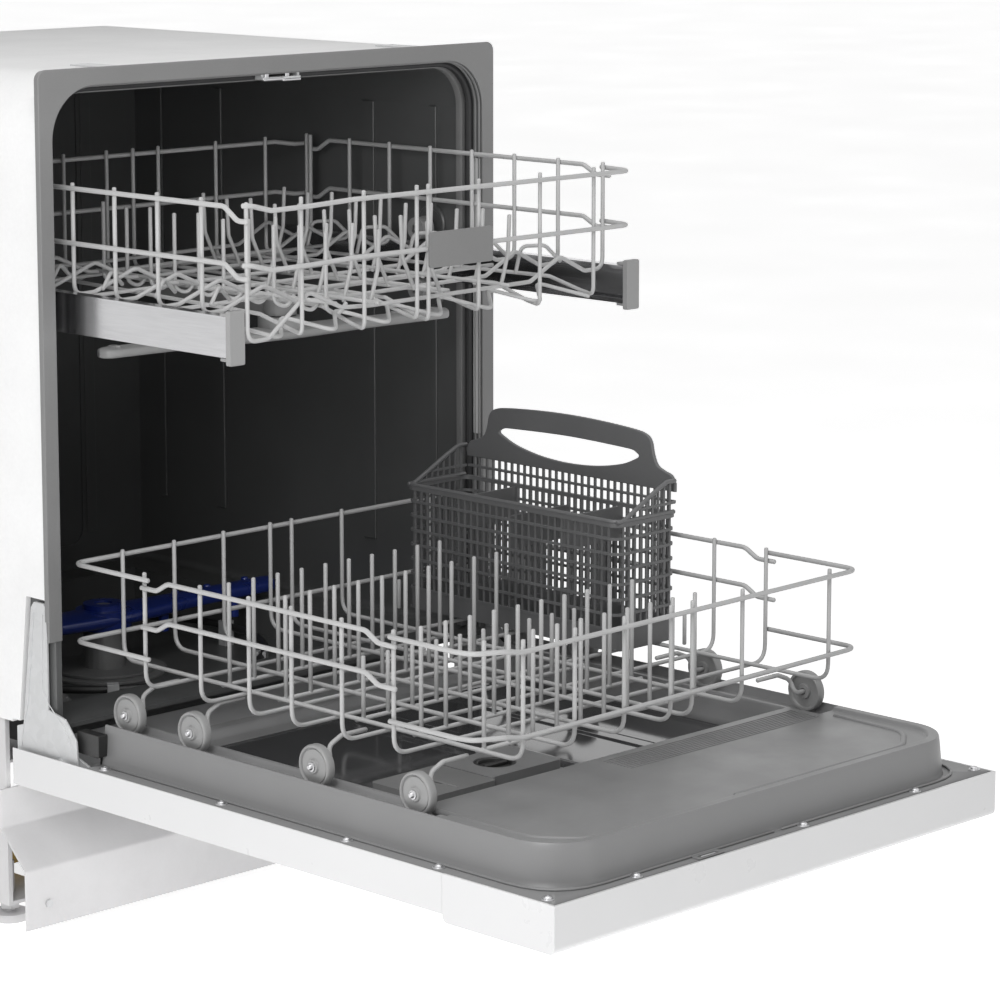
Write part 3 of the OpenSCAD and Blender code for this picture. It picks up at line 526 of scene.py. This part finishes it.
def liner_height(x, y):
    z = BORDER_Z
    body = inside(x, y, -279, 279, -650, 60, 56)
    z += 38 * smooth(body / 5.0)
    # inner step behind the rim, over the flat front shelf
    shelf = inside(x, y, -266, 266, -637, 60, 44)
    z -= 3.2 * smooth(shelf / 3.5)
    # wheel tracks
    track = min(abs(x) - 245.5, 271.5 - abs(x), y + 497)
    if abs(x) > 240:
        z = min(z, SHELF_Z - 5.8 * smooth(track / 2.5)) if track > 0 else z
    # sloping drop from the shelf into the deep floor
    # steeper on the left, where the lid slides to
    deep = min((242 - abs(x)) * (1.9 if x < 0 else 1), y + 458)
    z -= (z - DEEP_Z) * smooth(deep / 11.0)
    # raised frame round the detergent dispenser
    near = inside(x, y, -206, 4, -419, -312, 12)
    z += 1.6 * smooth(near / 3.0) * (1 if deep > 11 else 0)
    cut = inside(x, y, -191, -9, -406, -326, 3)
    if cut > 0 and deep > 11:
        z = 195.0
    # pressed pads of the deep floor
    for x0, x1 in ((26, 118), (132, 224)):
        pad = inside(x, y, x0, x1, -438, -96, 16)
        z -= 1.4 * smooth(pad / 6.0)
    pad = inside(x, y, -224, -20, -292, -96, 16)
    z -= 1.4 * smooth(pad / 6.0)
    # rear edge rolls up towards the tub
    z += 7 * smooth((y + 78) / 16.0) * (1 if abs(x) < 242 else 0)
    return z


def grid_lines(low, high, step, fine, around):
    vals = []
    v = low
    while v < high - 1e-6:
        vals.append(v)
        near = min(abs(v - a) for a in around)
        v += fine if near < 9 else step
    vals.append(high)
    return vals


CORNER_X, CORNER_Y = 223, -594
EDGE_X, EDGE_Y = 297, -663.5
gx = grid_lines(-CORNER_X, CORNER_X, 4.0, 1.3, (-206, -191, -9, 4, 26, 118, 132))
gy = grid_lines(CORNER_Y, -50.5, 4.0, 1.3, (-497, -458, -448, -419, -406, -326, -312, -292, -96, -70, -60))
# steps outward from the centre of each rounded front corner, close together where the walls are steep
steps = [6, 11, 14, 17] + [18 + i for i in range(10)] + [30, 34, 37] + [38 + 0.8 * i for i in range(26)]
gx = [-EDGE_X] + [-CORNER_X - r for r in reversed(steps)] + gx + [CORNER_X + r for r in steps] + [EDGE_X]
gy = [EDGE_Y] + [CORNER_Y - r for r in reversed(steps)] + gy
points, order = [], {}


def liner_point(x, y):
    """Index of the liner's vertex at this place; places that coincide share one."""
    key = (round(x, 2), round(y, 2))
    if key not in order:
        order[key] = len(points)
        points.append(key)
    return order[key]


faces = []
for y0, y1 in zip(gy, gy[1:]):
    for x0, x1 in zip(gx, gx[1:]):
        if y0 >= CORNER_Y or abs(x0 + x1) / 2 < CORNER_X:
            faces.append([liner_point(x, y) for x, y in ((x0, y0), (x1, y0), (x1, y1), (x0, y1))])
reach_x, reach_y = EDGE_X - CORNER_X, CORNER_Y - EDGE_Y
angles = sorted([math.radians(a) for a in range(0, 91, 3)] + [math.atan2(reach_y, reach_x)])
for s in (-1, 1):
    rays = []
    for a in angles:
        c, n = math.cos(a), math.sin(a)
        edge = min(reach_x / max(c, 1e-9), reach_y / max(n, 1e-9))
        rays.append([liner_point(s * (CORNER_X + c * r), CORNER_Y - n * r) for r in [0] + steps + [edge]])
    for one, two in zip(rays, rays[1:]):
        for k in range(len(one) - 1):
            quad = [one[k], one[k + 1], two[k + 1], two[k]]
            faces.append(list(dict.fromkeys(quad[::-s])))
verts = [at(x, y, liner_height(x, y)) for x, y in points]


def is_floor(face):
    """True where a face lies on the glossy deep floor, inside its sloping sides."""
    return all(min(242 - abs(x), y + 458, -84 - y) > 11 and inside(x, y, -206, 4, -419, -312, 12) < 0
               for x, y in (points[k] for k in face))


deep_faces = [f for f in faces if is_floor(f)]
other_faces = [f for f in faces if not is_floor(f)]
liner = add_mesh("door_liner", verts, other_faces, "door", "panel_grey", sharp=50)
used = sorted({k for f in deep_faces for k in f})
order = {k: i for i, k in enumerate(used)}
floor_sheet = add_mesh("door_liner_floor", [verts[k] for k in used],
                       [tuple(order[k] for k in f) for f in deep_faces], "door", "panel_grey",
                       mat="deep_gloss", sharp=50)
for sheet in (liner, floor_sheet):
    skin = sheet.modifiers.new("sheet", "SOLIDIFY")
    skin.thickness = 0.0014
    skin.offset = -1
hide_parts("door_inner_panel")

rib_ys = [-470 - i * 4.2 for i in range(9)]
wires("shelf_ribs", [[(-30, y, 228.0), (236, y, 228.0)] for y in rib_ys], 0.9, "door", "panel_grey", bend=1, sides=8)
wires("shelf_rim_bead", [[(-250, -474, 226.2), (-252, -596, 226.2), (-222, -632, 226.2), (-60, -636, 226.2)],
                         [(-30, -630, 226.6), (206, -630, 226.6), (246, -600, 226.6), (250, -512, 226.6)]],
      6.4, "door", "panel_grey", bend=34, sides=14)

heads = []
screw_places = [(s * 290, y) for s in (-1, 1) for y in (-68, -236, -404, -520, -650)]
screw_places += [(x, -658) for x in (-190, 30, 190)]
for x, y in screw_places:
    heads.append(lathe([(0.1, 0), (5.4, 0), (5.6, 0.4), (5.2, 0.9), (3.9, 1.0), (3.7, 2.2), (2.6, 3.1), (1.2, 3.3),
                        (1.1, 2.5), (0.1, 2.4)], at(x, y, BORDER_Z + 0.1), (0, 0, 1), 28))
add_mesh("panel_screw_heads", *merge(*heads), "door", "bright_steel")
sheet_cut("strike_slot", [round_rect(-116, -82, -664, -654, 2), round_rect(-111, -87, -661.5, -656.5, 1.5)],
          "xy", 193, 194.2, "door", "panel_grey", bevel=0.4)
wires("strike_bar", [[(-108, -659, 193.4), (-90, -659, 193.4)]], 1.6, "door", "bright_steel", bend=1)

# Raised line round the foot of the liner, and the rolled edge of the pan beside it
SIDES = (("left", -1), ("right", 1))
for side, s in SIDES:
    wires(f"side_lip_{side}", [[(s * 283.4, -62, 194), (s * 283.4, -653.4, 194), (s * 6, -653.4, 194)]],
          2.4, "door", "panel_grey", bend=59)
for side, s in SIDES:
    wires(f"pan_edge_{side}", [[(s * 299.2, -50, 192.6), (s * 299.2, -660, 192.6)]], 1.4, "door",
          "door_white", bend=1)

# Rinse-aid cap with its grip
cap = lathe([(0.1, 0), (19.4, 0), (20, 0.6), (20, 4.6), (19, 6), (16.8, 6), (16, 5.2), (15.6, 2.4), (0.1, 2.2)],
            at(-62, -361, 206.4), (0, 0, 1))
grip = slab((-76.5, -363.6, 208.6), (-47.5, -358.4, 212.4), 0.9)
knob = add_mesh("rinse_cap_turned", *merge(cap, grip), "cap", "basket_grey", mat="plastic_black")
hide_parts("rinse_cap")
wires("dispenser_seam", [[(-189.5, -404.6, 204.4), (-104, -404.6, 204.4), (-104, -328.5, 204.4)]], 0.9, "door",
      "panel_grey", bend=3)
wires("lid_latch", [[(-147, -398, 212.4), (-147, -340, 212.4)]], 2.4, "lid", "frame_grey", bend=1)

# ---------------------------------------------------------------- spray arms

def arm(name, length, half_root, half_tip, z0, z1, yaw, centre, body, slot, ridge, holes):
    """A hollow moulded spray arm, its section changing from the hub to the tips."""
    verts, faces = [], []
    stations, around = 44, 28
    r = length / 2
    c, s = math.cos(math.radians(yaw)), math.sin(math.radians(yaw))
    for i in range(stations + 1):
        t = -1 + 2 * i / stations
        t = math.copysign(1 - (1 - abs(t)) ** 1.5, t)
        along = t * r
        w = half_tip + (half_root - half_tip) * (1 - smooth(abs(t) / 0.62))
        end = max(0.0, (abs(t) * r - (r - half_tip)) / half_tip)
        w *= math.sqrt(max(0.0004, 1 - min(end, 1) ** 2))
        h = (z1 - z0) / 2 * (0.72 + 0.28 * math.sqrt(max(0.001, 1 - min(end, 1) ** 4))) * (1 - 0.12 * abs(t))
        mid = (z0 + z1) / 2
        for k in range(around):
            a = 2 * math.pi * k / around
            ca, sa = math.cos(a), math.sin(a)
            px = w * math.copysign(abs(ca) ** 0.55, ca)
            pz = h * math.copysign(abs(sa) ** 0.6, sa)
            if sa > 0 and abs(ca) < 0.45:
                pz += ridge * (1 - abs(ca) / 0.45)
            verts.append(at(centre[0] + along * c - px * s, centre[1] + along * s + px * c, mid + pz))
    for i in range(stations):
        for k in range(around):
            l = (k + 1) % around
            faces.append((i * around + k, i * around + l, (i + 1) * around + l, (i + 1) * around + k))
    faces.append(tuple(range(around)))
    faces.append(tuple(reversed(range(stations * around, (stations + 1) * around))))
    parts = [(verts, faces)]
    for d, off, rad, zlow, zhigh in holes:
        cx, cy = centre[0] + d * c - off * s, centre[1] + d * s + off * c
        parts.append(lathe([(rad * 0.45, 0), (rad, 0), (rad, zhigh - zlow), (rad * 0.8, zhigh - zlow + 0.8),
                            (rad * 0.45, zhigh - zlow + 0.3)], at(cx, cy, zlow), (0, 0, 1), 24))
    return add_mesh(name, *merge(*parts), body, slot, sharp=50)


blue = arm("lower_arm_moulding", 480, 30, 16, 230, 246, 0, (0, 290), "lower_arm", "arm_blue", 2.0,
           [(x, 6 if x > 0 else -6, 4.2, 244, 248) for x in (-205, -150, -105, 105, 150, 205)]
           + [(x, -10 if x > 0 else 10, 5.5, 212, 232) for x in (75, 175, -75, -175)]
           + [(0, 0, 30, 227, 247), (0, 0, 22, 246, 253)])
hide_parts("lower_spray_arm")
pale = arm("middle_arm_moulding", 436, 24, 12.5, 568, 579, -4, (0, 3), "middle_arm", "light_plastic", 1.0,
           [(x, 4 if x > 0 else -4, 3.4, 577.5, 579.6) for x in (-200, -150, -100, 100, 150, 200)]
           + [(0, 0, 22, 578, 590)])
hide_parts("middle_spray_arm")
tips = []
for s in (-1, 1):
    c, q = math.cos(math.radians(-4)), math.sin(math.radians(-4))
    cx, cy = s * 202 * c, 3 + s * 202 * q
    tips.append(lathe([(3.0, 0), (5.2, 0), (5.4, 1.2), (4.4, 1.8), (3.0, 1.4)], at(cx, cy, 578.4), (0, 0, 1), 24))
add_mesh("middle_arm_nozzles", *merge(*tips), "middle_arm", "light_plastic")

# ---------------------------------------------------------------- lower rack

LOWER_SIDE = (-423, -356, -289, -231, -163, -83)
LOWER_END = (-197, -132, -68, -6, 23, 92, 217)
RIM = 254.5


def side_rim(s, z, front_y=-430, back_y=-84, drop=9):
    """Along one side, stepped down at both ends."""
    return [(s * RIM, front_y, z - drop), (s * RIM, front_y + 22, z - drop), (s * RIM, front_y + 38, z),
            (s * RIM, back_y - 38, z), (s * RIM, back_y - 22, z - drop), (s * RIM, back_y, z - drop)]


def end_rim(y, back, z, wave=0, tail=112):
    """Wraps both corners; back is +1 when the tails run towards the tub."""
    path = [(-RIM, y + back * tail, z), (-RIM, y + back * 30, z)]
    if wave:
        path += [(-RIM + 4, y + back * 12, z), (-RIM + 30, y, z),
                 (-RIM + 52, y, z - wave), (-RIM + 84, y, z - wave)]
    else:
        path += [(-RIM, y, z)]
    return path + [(RIM, y, z), (RIM, y + back * tail, z)]


paths = []
for s in (-1, 1):
    paths += [side_rim(s, 375), side_rim(s, 337)]
paths += [end_rim(-534.5, 1, z, wave=4) for z in (374, 298)]
paths += [end_rim(18.5, -1, z) for z in (374, 298)]
rim = wires("lower_rack_rim_wires", paths, 4.8, "lower_rack", bend=16)
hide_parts("lower_rack_rims")

paths = [[(-250, y, 379), (-250, y, 267), (250, y, 267), (250, y, 379)] for y in LOWER_SIDE]
sides = wires("lower_rack_cross_wires", paths, 4.2, "lower_rack", bend=17)
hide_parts("lower_rack_sides")

paths = [[(x, -530, 379), (x, -530, 271.2), (x, 14, 271.2), (x, 14, 379)] for x in LOWER_END]
for y, top in ((-124, 365), (-204, 365), (-310, 325), (-386, 365), (-466, 365)):
    paths.append([(-190, y, 267), (112, y, 267)])
    for i in range(10):
        x = -181 + 31 * i
        paths.append([(x, y, 268), (x, y, top)])
for x, y in ((150, -330), (150, -10), (236, -330)):
    paths.append([(x, y, 271), (x, y, 300)])
floor = wires("lower_rack_floor_wires", paths, 4.2, "lower_rack", bend=17)
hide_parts("lower_rack_floor")

WHEEL_Y = (-73, -167, -335, -466)
WHEEL_Z = (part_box("lower_wheels_a")[0].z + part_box("lower_wheels_a")[1].z) * 500
legs = []
for s in (-1, 1):
    for y in WHEEL_Y:
        legs.append([(s * 196, y + 6, 263), (s * 226, y + 6, 263), (s * 243, y + 5, 256), (s * 245, y, WHEEL_Z),
                     (s * 270, y, WHEEL_Z)])
stub = wires("wheel_leg_wires", legs, 4.6, "lower_rack", bend=11)
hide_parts("wheel_stubs")

for name, y in zip("abcd", WHEEL_Y):
    parts, hubs = [], []
    for s in (-1, 1):
        parts.append(lathe([(3.1, 0), (7, 0), (7.5, 1), (7.5, 2.6), (15.6, 2.6), (16.4, 1.6), (16.8, 0.4),
                            (18.6, 0.2), (19.6, 0.9), (20, 2.2), (20, 7.4), (19.6, 8.8), (18.8, 9.5), (17.7, 9.6),
                            (17.1, 9), (16.6, 7.3), (16.0, 7.1), (15.3, 8.2), (7.2, 8.6), (6.6, 9.4), (6.2, 10.7),
                            (5.6, 11), (3.1, 11)],
                           at(s * 257, y, WHEEL_Z), (s, 0, 0), 64))
        hubs.append(lathe([(0.1, 0), (3.6, 0), (4.4, 0.4), (4.2, 1.2), (2.9, 1.5), (2.6, 3.2), (1.8, 4.2),
                           (0.1, 4.4)], at(s * 268, y, WHEEL_Z), (s, 0, 0), 24))
    wheel = add_mesh(f"wheel_pair_{name}", *merge(*parts), f"wheels_{name}", "light_plastic")
    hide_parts(f"lower_wheels_{name}")
    add_mesh(f"wheel_pins_{name}", *merge(*hubs), "lower_rack", "bright_steel")

# ---------------------------------------------------------------- upper rack

RACK_FRONT, RACK_BACK = -236.5, 241.5
paths = []
for z in (736, 684):
    paths.append([(-RIM, -240, z - 12), (-RIM, -227, z - 12), (-RIM, -209, z), (-RIM, 171, z), (-RIM, 187, z - 9),
                  (-RIM, 209, z - 9)])
    paths.append([(RIM, -208, z - 9), (RIM, -190, z - 9), (RIM, -172, z), (RIM, 206, z), (RIM, 224, z - 11),
                  (RIM, 242, z - 11)])
for z in (734, 680):
    paths.append([(-254, -233.5, z + 4), (-246, RACK_FRONT, z + 3.5), (-222, RACK_FRONT, z - 2.5),
                  (-176, RACK_FRONT, z - 2), (-120, RACK_FRONT, z), (RIM, RACK_FRONT, z),
                  (RIM, RACK_FRONT + 40, z + 1)])
    paths.append([(-RIM, RACK_BACK - 34, z + 1), (-RIM, RACK_BACK, z + 1), (208, RACK_BACK, z + 1),
                  (236, RACK_BACK, z - 3), (254, RACK_BACK, z - 3)])
rim = wires("upper_rack_rim_wires", paths, 4.8, "upper_rack", bend=13)
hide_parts("upper_rack_rims")

SLANT = 31
paths = []
for i in range(8):
    y = -234 + 62 * i
    low = 614 if i == 0 else 634
    left = [(-250, y, 740), (-250, y, low)]
    hump = [(-222, y + 4, low), (-170, y + 6, 652), (-126, y + 9, 633), (-88, y + 12, 631),
            (-36, y + 14, 631), (15, y + 17, 631), (112, y + 23, 631), (140, y + 25, 631), (184, y + 27, 652),
            (222, y + 29, 634)]
    paths.append(left + hump + [(250, y + SLANT, 634), (250, y + SLANT, 740)])
sides = wires("upper_rack_cross_wires", paths, 4.2, "upper_rack", bend=12)
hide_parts("upper_rack_sides")

# Front post, sag below the floor, long run and rear post of each lengthwise wire
UPPER_RUNS = ((-182, -140), (-104, -84), (-36, -28), (-21, 7), (46, 41), (130, 120), (206, 190))
paths = []
for i, (x, xb) in enumerate(UPPER_RUNS):
    low = 611 if i % 2 else 614
    paths.append([(x, -232, 740), (x, -232, low), (x + 10, -206, low + 1), (x + 12, -160, 625), (xb, 190, 625),
                  (xb, 214, 616), (xb, 237, 620), (xb, 237, 741)])
paths.append([(250, 237, 741), (250, 237, 622), (236, 214, 620)])
paths.append([(x, -226 if k % 2 else -186, 612 if k % 2 else 625) for k, x in enumerate(range(-236, 240, 34))])
for y in (-96, 34, 150):
    paths.append([(-228, y, 627.5), (228, y + 27, 627.5)])
PIN_PITCH = 36.4
# rows of pins: X, first Y, how many, and the side they lean to
for x, y0, count, lean in ((-112, -188, 10, 0), (-66, -212, 5, -1), (12, -196, 10, 1), (110, -210, 10, -1)):
    for i in range(count):
        y = y0 + PIN_PITCH * i
        tall = 702 if i % 2 else 699
        if lean:
            paths.append([(x + lean * 15, y - 3, 630), (x + lean * 2, y, 662), (x, y, tall)])
        else:
            paths.append([(x, y, tall), (x, y, 626), (x + 12, y - 4, 620), (x + 20, y - 6, 631)])
    paths.append([(x + lean * 15, y0 - 14, 633), (x + lean * 15, y0 + PIN_PITCH * (count - 1) + 12, 633)])
for y0 in (-150, -72, 6, 84, 162):
    paths.append([(-238, y0 - 20, 641), (-218, y0 - 8, 655), (-198, y0, 640)])
    paths.append([(238, y0 - 6, 638), (222, y0, 655), (200, y0 + 12, 655), (196, y0 + 16, 628)])
floor = wires("upper_rack_floor_wires", paths, 4.0, "upper_rack", bend=9)
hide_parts("upper_rack_floor")

# ---------------------------------------------------------------- cutlery basket

x0, x1, y0, y1 = 151, 238, -317, -21
z0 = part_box("basket_shell")[0].z * 1000
rim_z = z0 + 128
parts = []


def ring_points(inset, r=12):
    return round_rect(x0 + inset, x1 - inset, y0 + inset, y1 - inset, r, 6)


def band(z_low, z_high, inset, thick):
    """A closed strip round the basket."""
    outside, inside_wall = ring_points(inset), ring_points(inset + thick, 12 - thick)
    n = len(outside)
    v_, f_ = [], []
    for pts in (outside, inside_wall):
        for z in (z_low, z_high):
            v_ += [at(x, y, z) for x, y in pts]
    for k in range(n):
        l = (k + 1) % n
        f_.append((k, l, n + l, n + k))
        f_.append((2 * n + l, 2 * n + k, 3 * n + k, 3 * n + l))
        f_.append((n + k, n + l, 3 * n + l, 3 * n + k))
        f_.append((l, k, 2 * n + k, 2 * n + l))
    return v_, f_


parts.append(band(z0, z0 + 21, 0.0, 2.4))
rows = 7
pitch = (rim_z - 2 - z0 - 20) / rows
for i in range(rows):
    z = z0 + 20 + pitch * i
    parts.append(band(z, z + 2.6, -0.6, 2.2))
parts.append(band(rim_z - 4, rim_z, -1.4, 4.0))
for y in [y0 + 12 + 9.07 * k for k in range(31)]:
    for x in (x0 + 0.3, x1 - 2.1):
        parts.append(slab((x, y - 1.3, z0 + 18), (x + 1.8, y + 1.3, rim_z - 2), 0.3))
for x in [x0 + 10 + 8.4 * k for k in range(9)]:
    for y in (y0 + 0.3, y1 - 2.1):
        parts.append(slab((x - 1.3, y, z0 + 18), (x + 1.3, y + 1.8, rim_z - 2), 0.3))
for x in [x0 + 3 + 9 * k for k in range(10)]:
    parts.append(slab((x - 1.2, y0 + 3, z0), (x + 1.2, y1 - 3, z0 + 2.2), 0.3))
for y in [y0 + 6 + 9.5 * k for k in range(31)]:
    parts.append(slab((x0 + 2, y - 1.2, z0), (x1 - 2, y + 1.2, z0 + 2.2), 0.3))
for y, top in ((y0 + 74, rim_z - 3), (y0 + 148, rim_z - 12), (y0 + 222, rim_z - 3)):
    parts.append(slab((x0 + 2, y - 1, z0 + 2), (x1 - 2, y + 1, z0 + 30), 0.3))
    parts.append(slab((x0 + 2, y - 1, top - 34), (x1 - 2, y + 1, top), 0.4))
    for x in [x0 + 9 + 8.6 * k for k in range(9)]:
        parts.append(slab((x - 1.5, y - 0.9, z0 + 28), (x + 1.5, y + 0.9, top - 32)))
v, f = merge(*parts)
basket = add_mesh("basket_moulding", v, f, "basket", "basket_grey")
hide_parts("basket_shell")
wires("basket_rim_bead", [[(x1 - 4, y0 + 1, rim_z + 1.2), (x0 + 0.6, y0 + 1, rim_z + 1.2),
                           (x0 + 0.6, y1 - 1, rim_z + 1.2), (x1 - 4, y1 - 1, rim_z + 1.2)]],
      4.8, "basket", "basket_grey", bend=12)


def curve_through(points, steps=7):
    """Catmull-Rom curve through the points."""
    out = []
    n = len(points)
    for i in range(n - 1):
        p0, p1, p2, p3 = (points[max(i - 1, 0)], points[i], points[i + 1], points[min(i + 2, n - 1)])
        for k in range(steps):
            t = k / steps
            out.append(tuple(0.5 * (2 * b + (c - a) * t + (2 * a - 5 * b + 4 * c - d) * t * t
                                    + (3 * b - a - 3 * c + d) * t ** 3) for a, b, c, d in zip(p0, p1, p2, p3)))
    out.append(points[-1])
    return out


# Outline of the handle and of the hole for the hand, in Y and Z
top_line = curve_through([(-315, 430), (-310, 438), (-300, 441.5), (-291, 446), (-286, 456), (-282.5, 469),
                          (-275, 475.5), (-258, 478.6), (-214, 481.4), (-169, 482.4), (-124, 481.4), (-80, 478.6),
                          (-63, 475.5), (-55.5, 469), (-52, 456), (-47, 446), (-38, 441.5), (-28, 438), (-21, 430)])
hole = curve_through([(-260, 456.5), (-246, 458), (-169, 460), (-92, 458), (-76, 456.5), (-70, 452.5),
                      (-76, 448.5), (-96, 441), (-130, 434.6), (-169, 432.4), (-208, 434.6), (-242, 441),
                      (-261, 448.5), (-266, 452.5), (-260, 456.5)])[:-1]
BACK_TOP = rim_z + 20
plate = [(y0 + 2, BACK_TOP)] + top_line + [(y1 - 2, BACK_TOP)]
handle = sheet_cut("basket_handle_plate", [plate, hole], "yz", 236.4, 240.4, "basket", "basket_grey", bevel=1.1)
grid = []
for y in [y0 + 12 + 9.07 * k for k in range(31)]:
    grid.append(slab((237.2, y - 1.3, z0 + 18), (239.6, y + 1.3, BACK_TOP + 1), 0.3))
grid.append(slab((236.8, y0 + 3, rim_z + 9), (239.8, y1 - 3, rim_z + 11.6), 0.3))
add_mesh("basket_back_bars", *merge(*grid), "basket", "basket_grey")


def end_rise(x):
    """Height of an end wall's rim above the near rim."""
    reach = x - x0
    return max(0, 24 * (reach - 10) / 47) if reach < 57 else min(31, 24 + 7 * (reach - 57) / 16)


slopes = [[(x, y, rim_z + 1 + end_rise(x)) for x in (x0 + 2, x0 + 10, x1 - 30, x1 - 14, x1 - 2)]
          for y in (y0 + 1.5, y1 - 1.5)]
wires("basket_end_rims", slopes, 4.6, "basket", "basket_grey", bend=12)
ends = []
for y in (y0 + 0.4, y1 - 2.2):
    for x in [x0 + 18.4 + 8.4 * k for k in range(8)]:
        ends.append(slab((x - 1.3, y, rim_z - 3), (x + 1.3, y + 1.8, rim_z - 1 + end_rise(x)), 0.3))
    ends.append(slab((x0 + 32, y - 0.3, rim_z + 9), (x1 - 2, y + 2.1, rim_z + 11.6), 0.3))
add_mesh("basket_end_bars", *merge(*ends), "basket", "basket_grey")
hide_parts("basket_handle")

# ---------------------------------------------------------------- stage, light and camera

bpy.ops.mesh.primitive_plane_add(size=60, location=(0, 0, 0))
ground = bpy.context.object
ground.name = "pale_floor"
paper_floor = material("floor_paper", (0.93, 0.93, 0.93), 0.8, tone=0.006, tone_scale=1.0, grain=60, bump=0.02)
glow = next(n for n in paper_floor.node_tree.nodes if n.type == "BSDF_PRINCIPLED")
glow.inputs["Emission Color"].default_value = (1, 1, 1, 1)
glow.inputs["Emission Strength"].default_value = 0.7
ground.data.materials.append(paper_floor)

world = bpy.data.worlds.new("studio")
bpy.context.scene.world = world
world.use_nodes = True
wt = world.node_tree
wt.nodes.clear()
sky_out = wt.nodes.new("ShaderNodeOutputWorld")
# surfaces are lit by a dim room, and see white paper all round
blend = wt.nodes.new("ShaderNodeMixShader")
path = wt.nodes.new("ShaderNodeLightPath")
room, paper = wt.nodes.new("ShaderNodeBackground"), wt.nodes.new("ShaderNodeBackground")
room.inputs["Color"].default_value = (1, 1, 1, 1)
room.inputs["Strength"].default_value = 0.22
paper.inputs["Color"].default_value = (1, 1, 1, 1)
paper.inputs["Strength"].default_value = 1.0
wt.links.new(path.outputs["Is Diffuse Ray"], blend.inputs[0])
wt.links.new(paper.outputs[0], blend.inputs[1])
wt.links.new(room.outputs[0], blend.inputs[2])
wt.links.new(blend.outputs[0], sky_out.inputs[0])


def lamp(name, loc, target, size, power):
    li = bpy.data.lights.new(name, "AREA")
    li.shape = "RECTANGLE"
    li.size, li.size_y = size
    li.energy = power
    ob = bpy.data.objects.new(name, li)
    bpy.context.scene.collection.objects.link(ob)
    ob.location = loc
    ob.rotation_euler = (Vector(target) - Vector(loc)).to_track_quat("-Z", "Y").to_euler()


lamp("key", (-1.45, -0.95, 1.1), (-0.15, -0.2, 0.4), (0.7, 0.7), 12.5)
lamp("top", (-0.4, -0.5, 2.3), (0, -0.25, 0.3), (1.4, 1.4), 18)
lamp("low", (0.3, -2.6, 0.4), (0.2, -0.6, 0.2), (1.4, 0.4), 2)

cam = bpy.data.cameras.new("camera")
eye = bpy.data.objects.new("camera", cam)
bpy.context.scene.collection.objects.link(eye)
azimuth, pitch = math.radians(45.22), math.radians(9.32)
look = Vector((math.sin(azimuth) * math.cos(pitch), math.cos(azimuth) * math.cos(pitch), -math.sin(pitch)))
eye.location = at(-2371.8, -2660, 1088.9)
eye.rotation_mode = "QUATERNION"
eye.rotation_quaternion = look.to_track_quat("-Z", "Y")
cam.sensor_width = 36
cam.lens = 129.67
cam.shift_y = -0.1
cam.clip_start, cam.clip_end = 0.1, 50
bpy.context.scene.camera = eye
bpy.context.scene.view_settings.view_transform = "Standard"
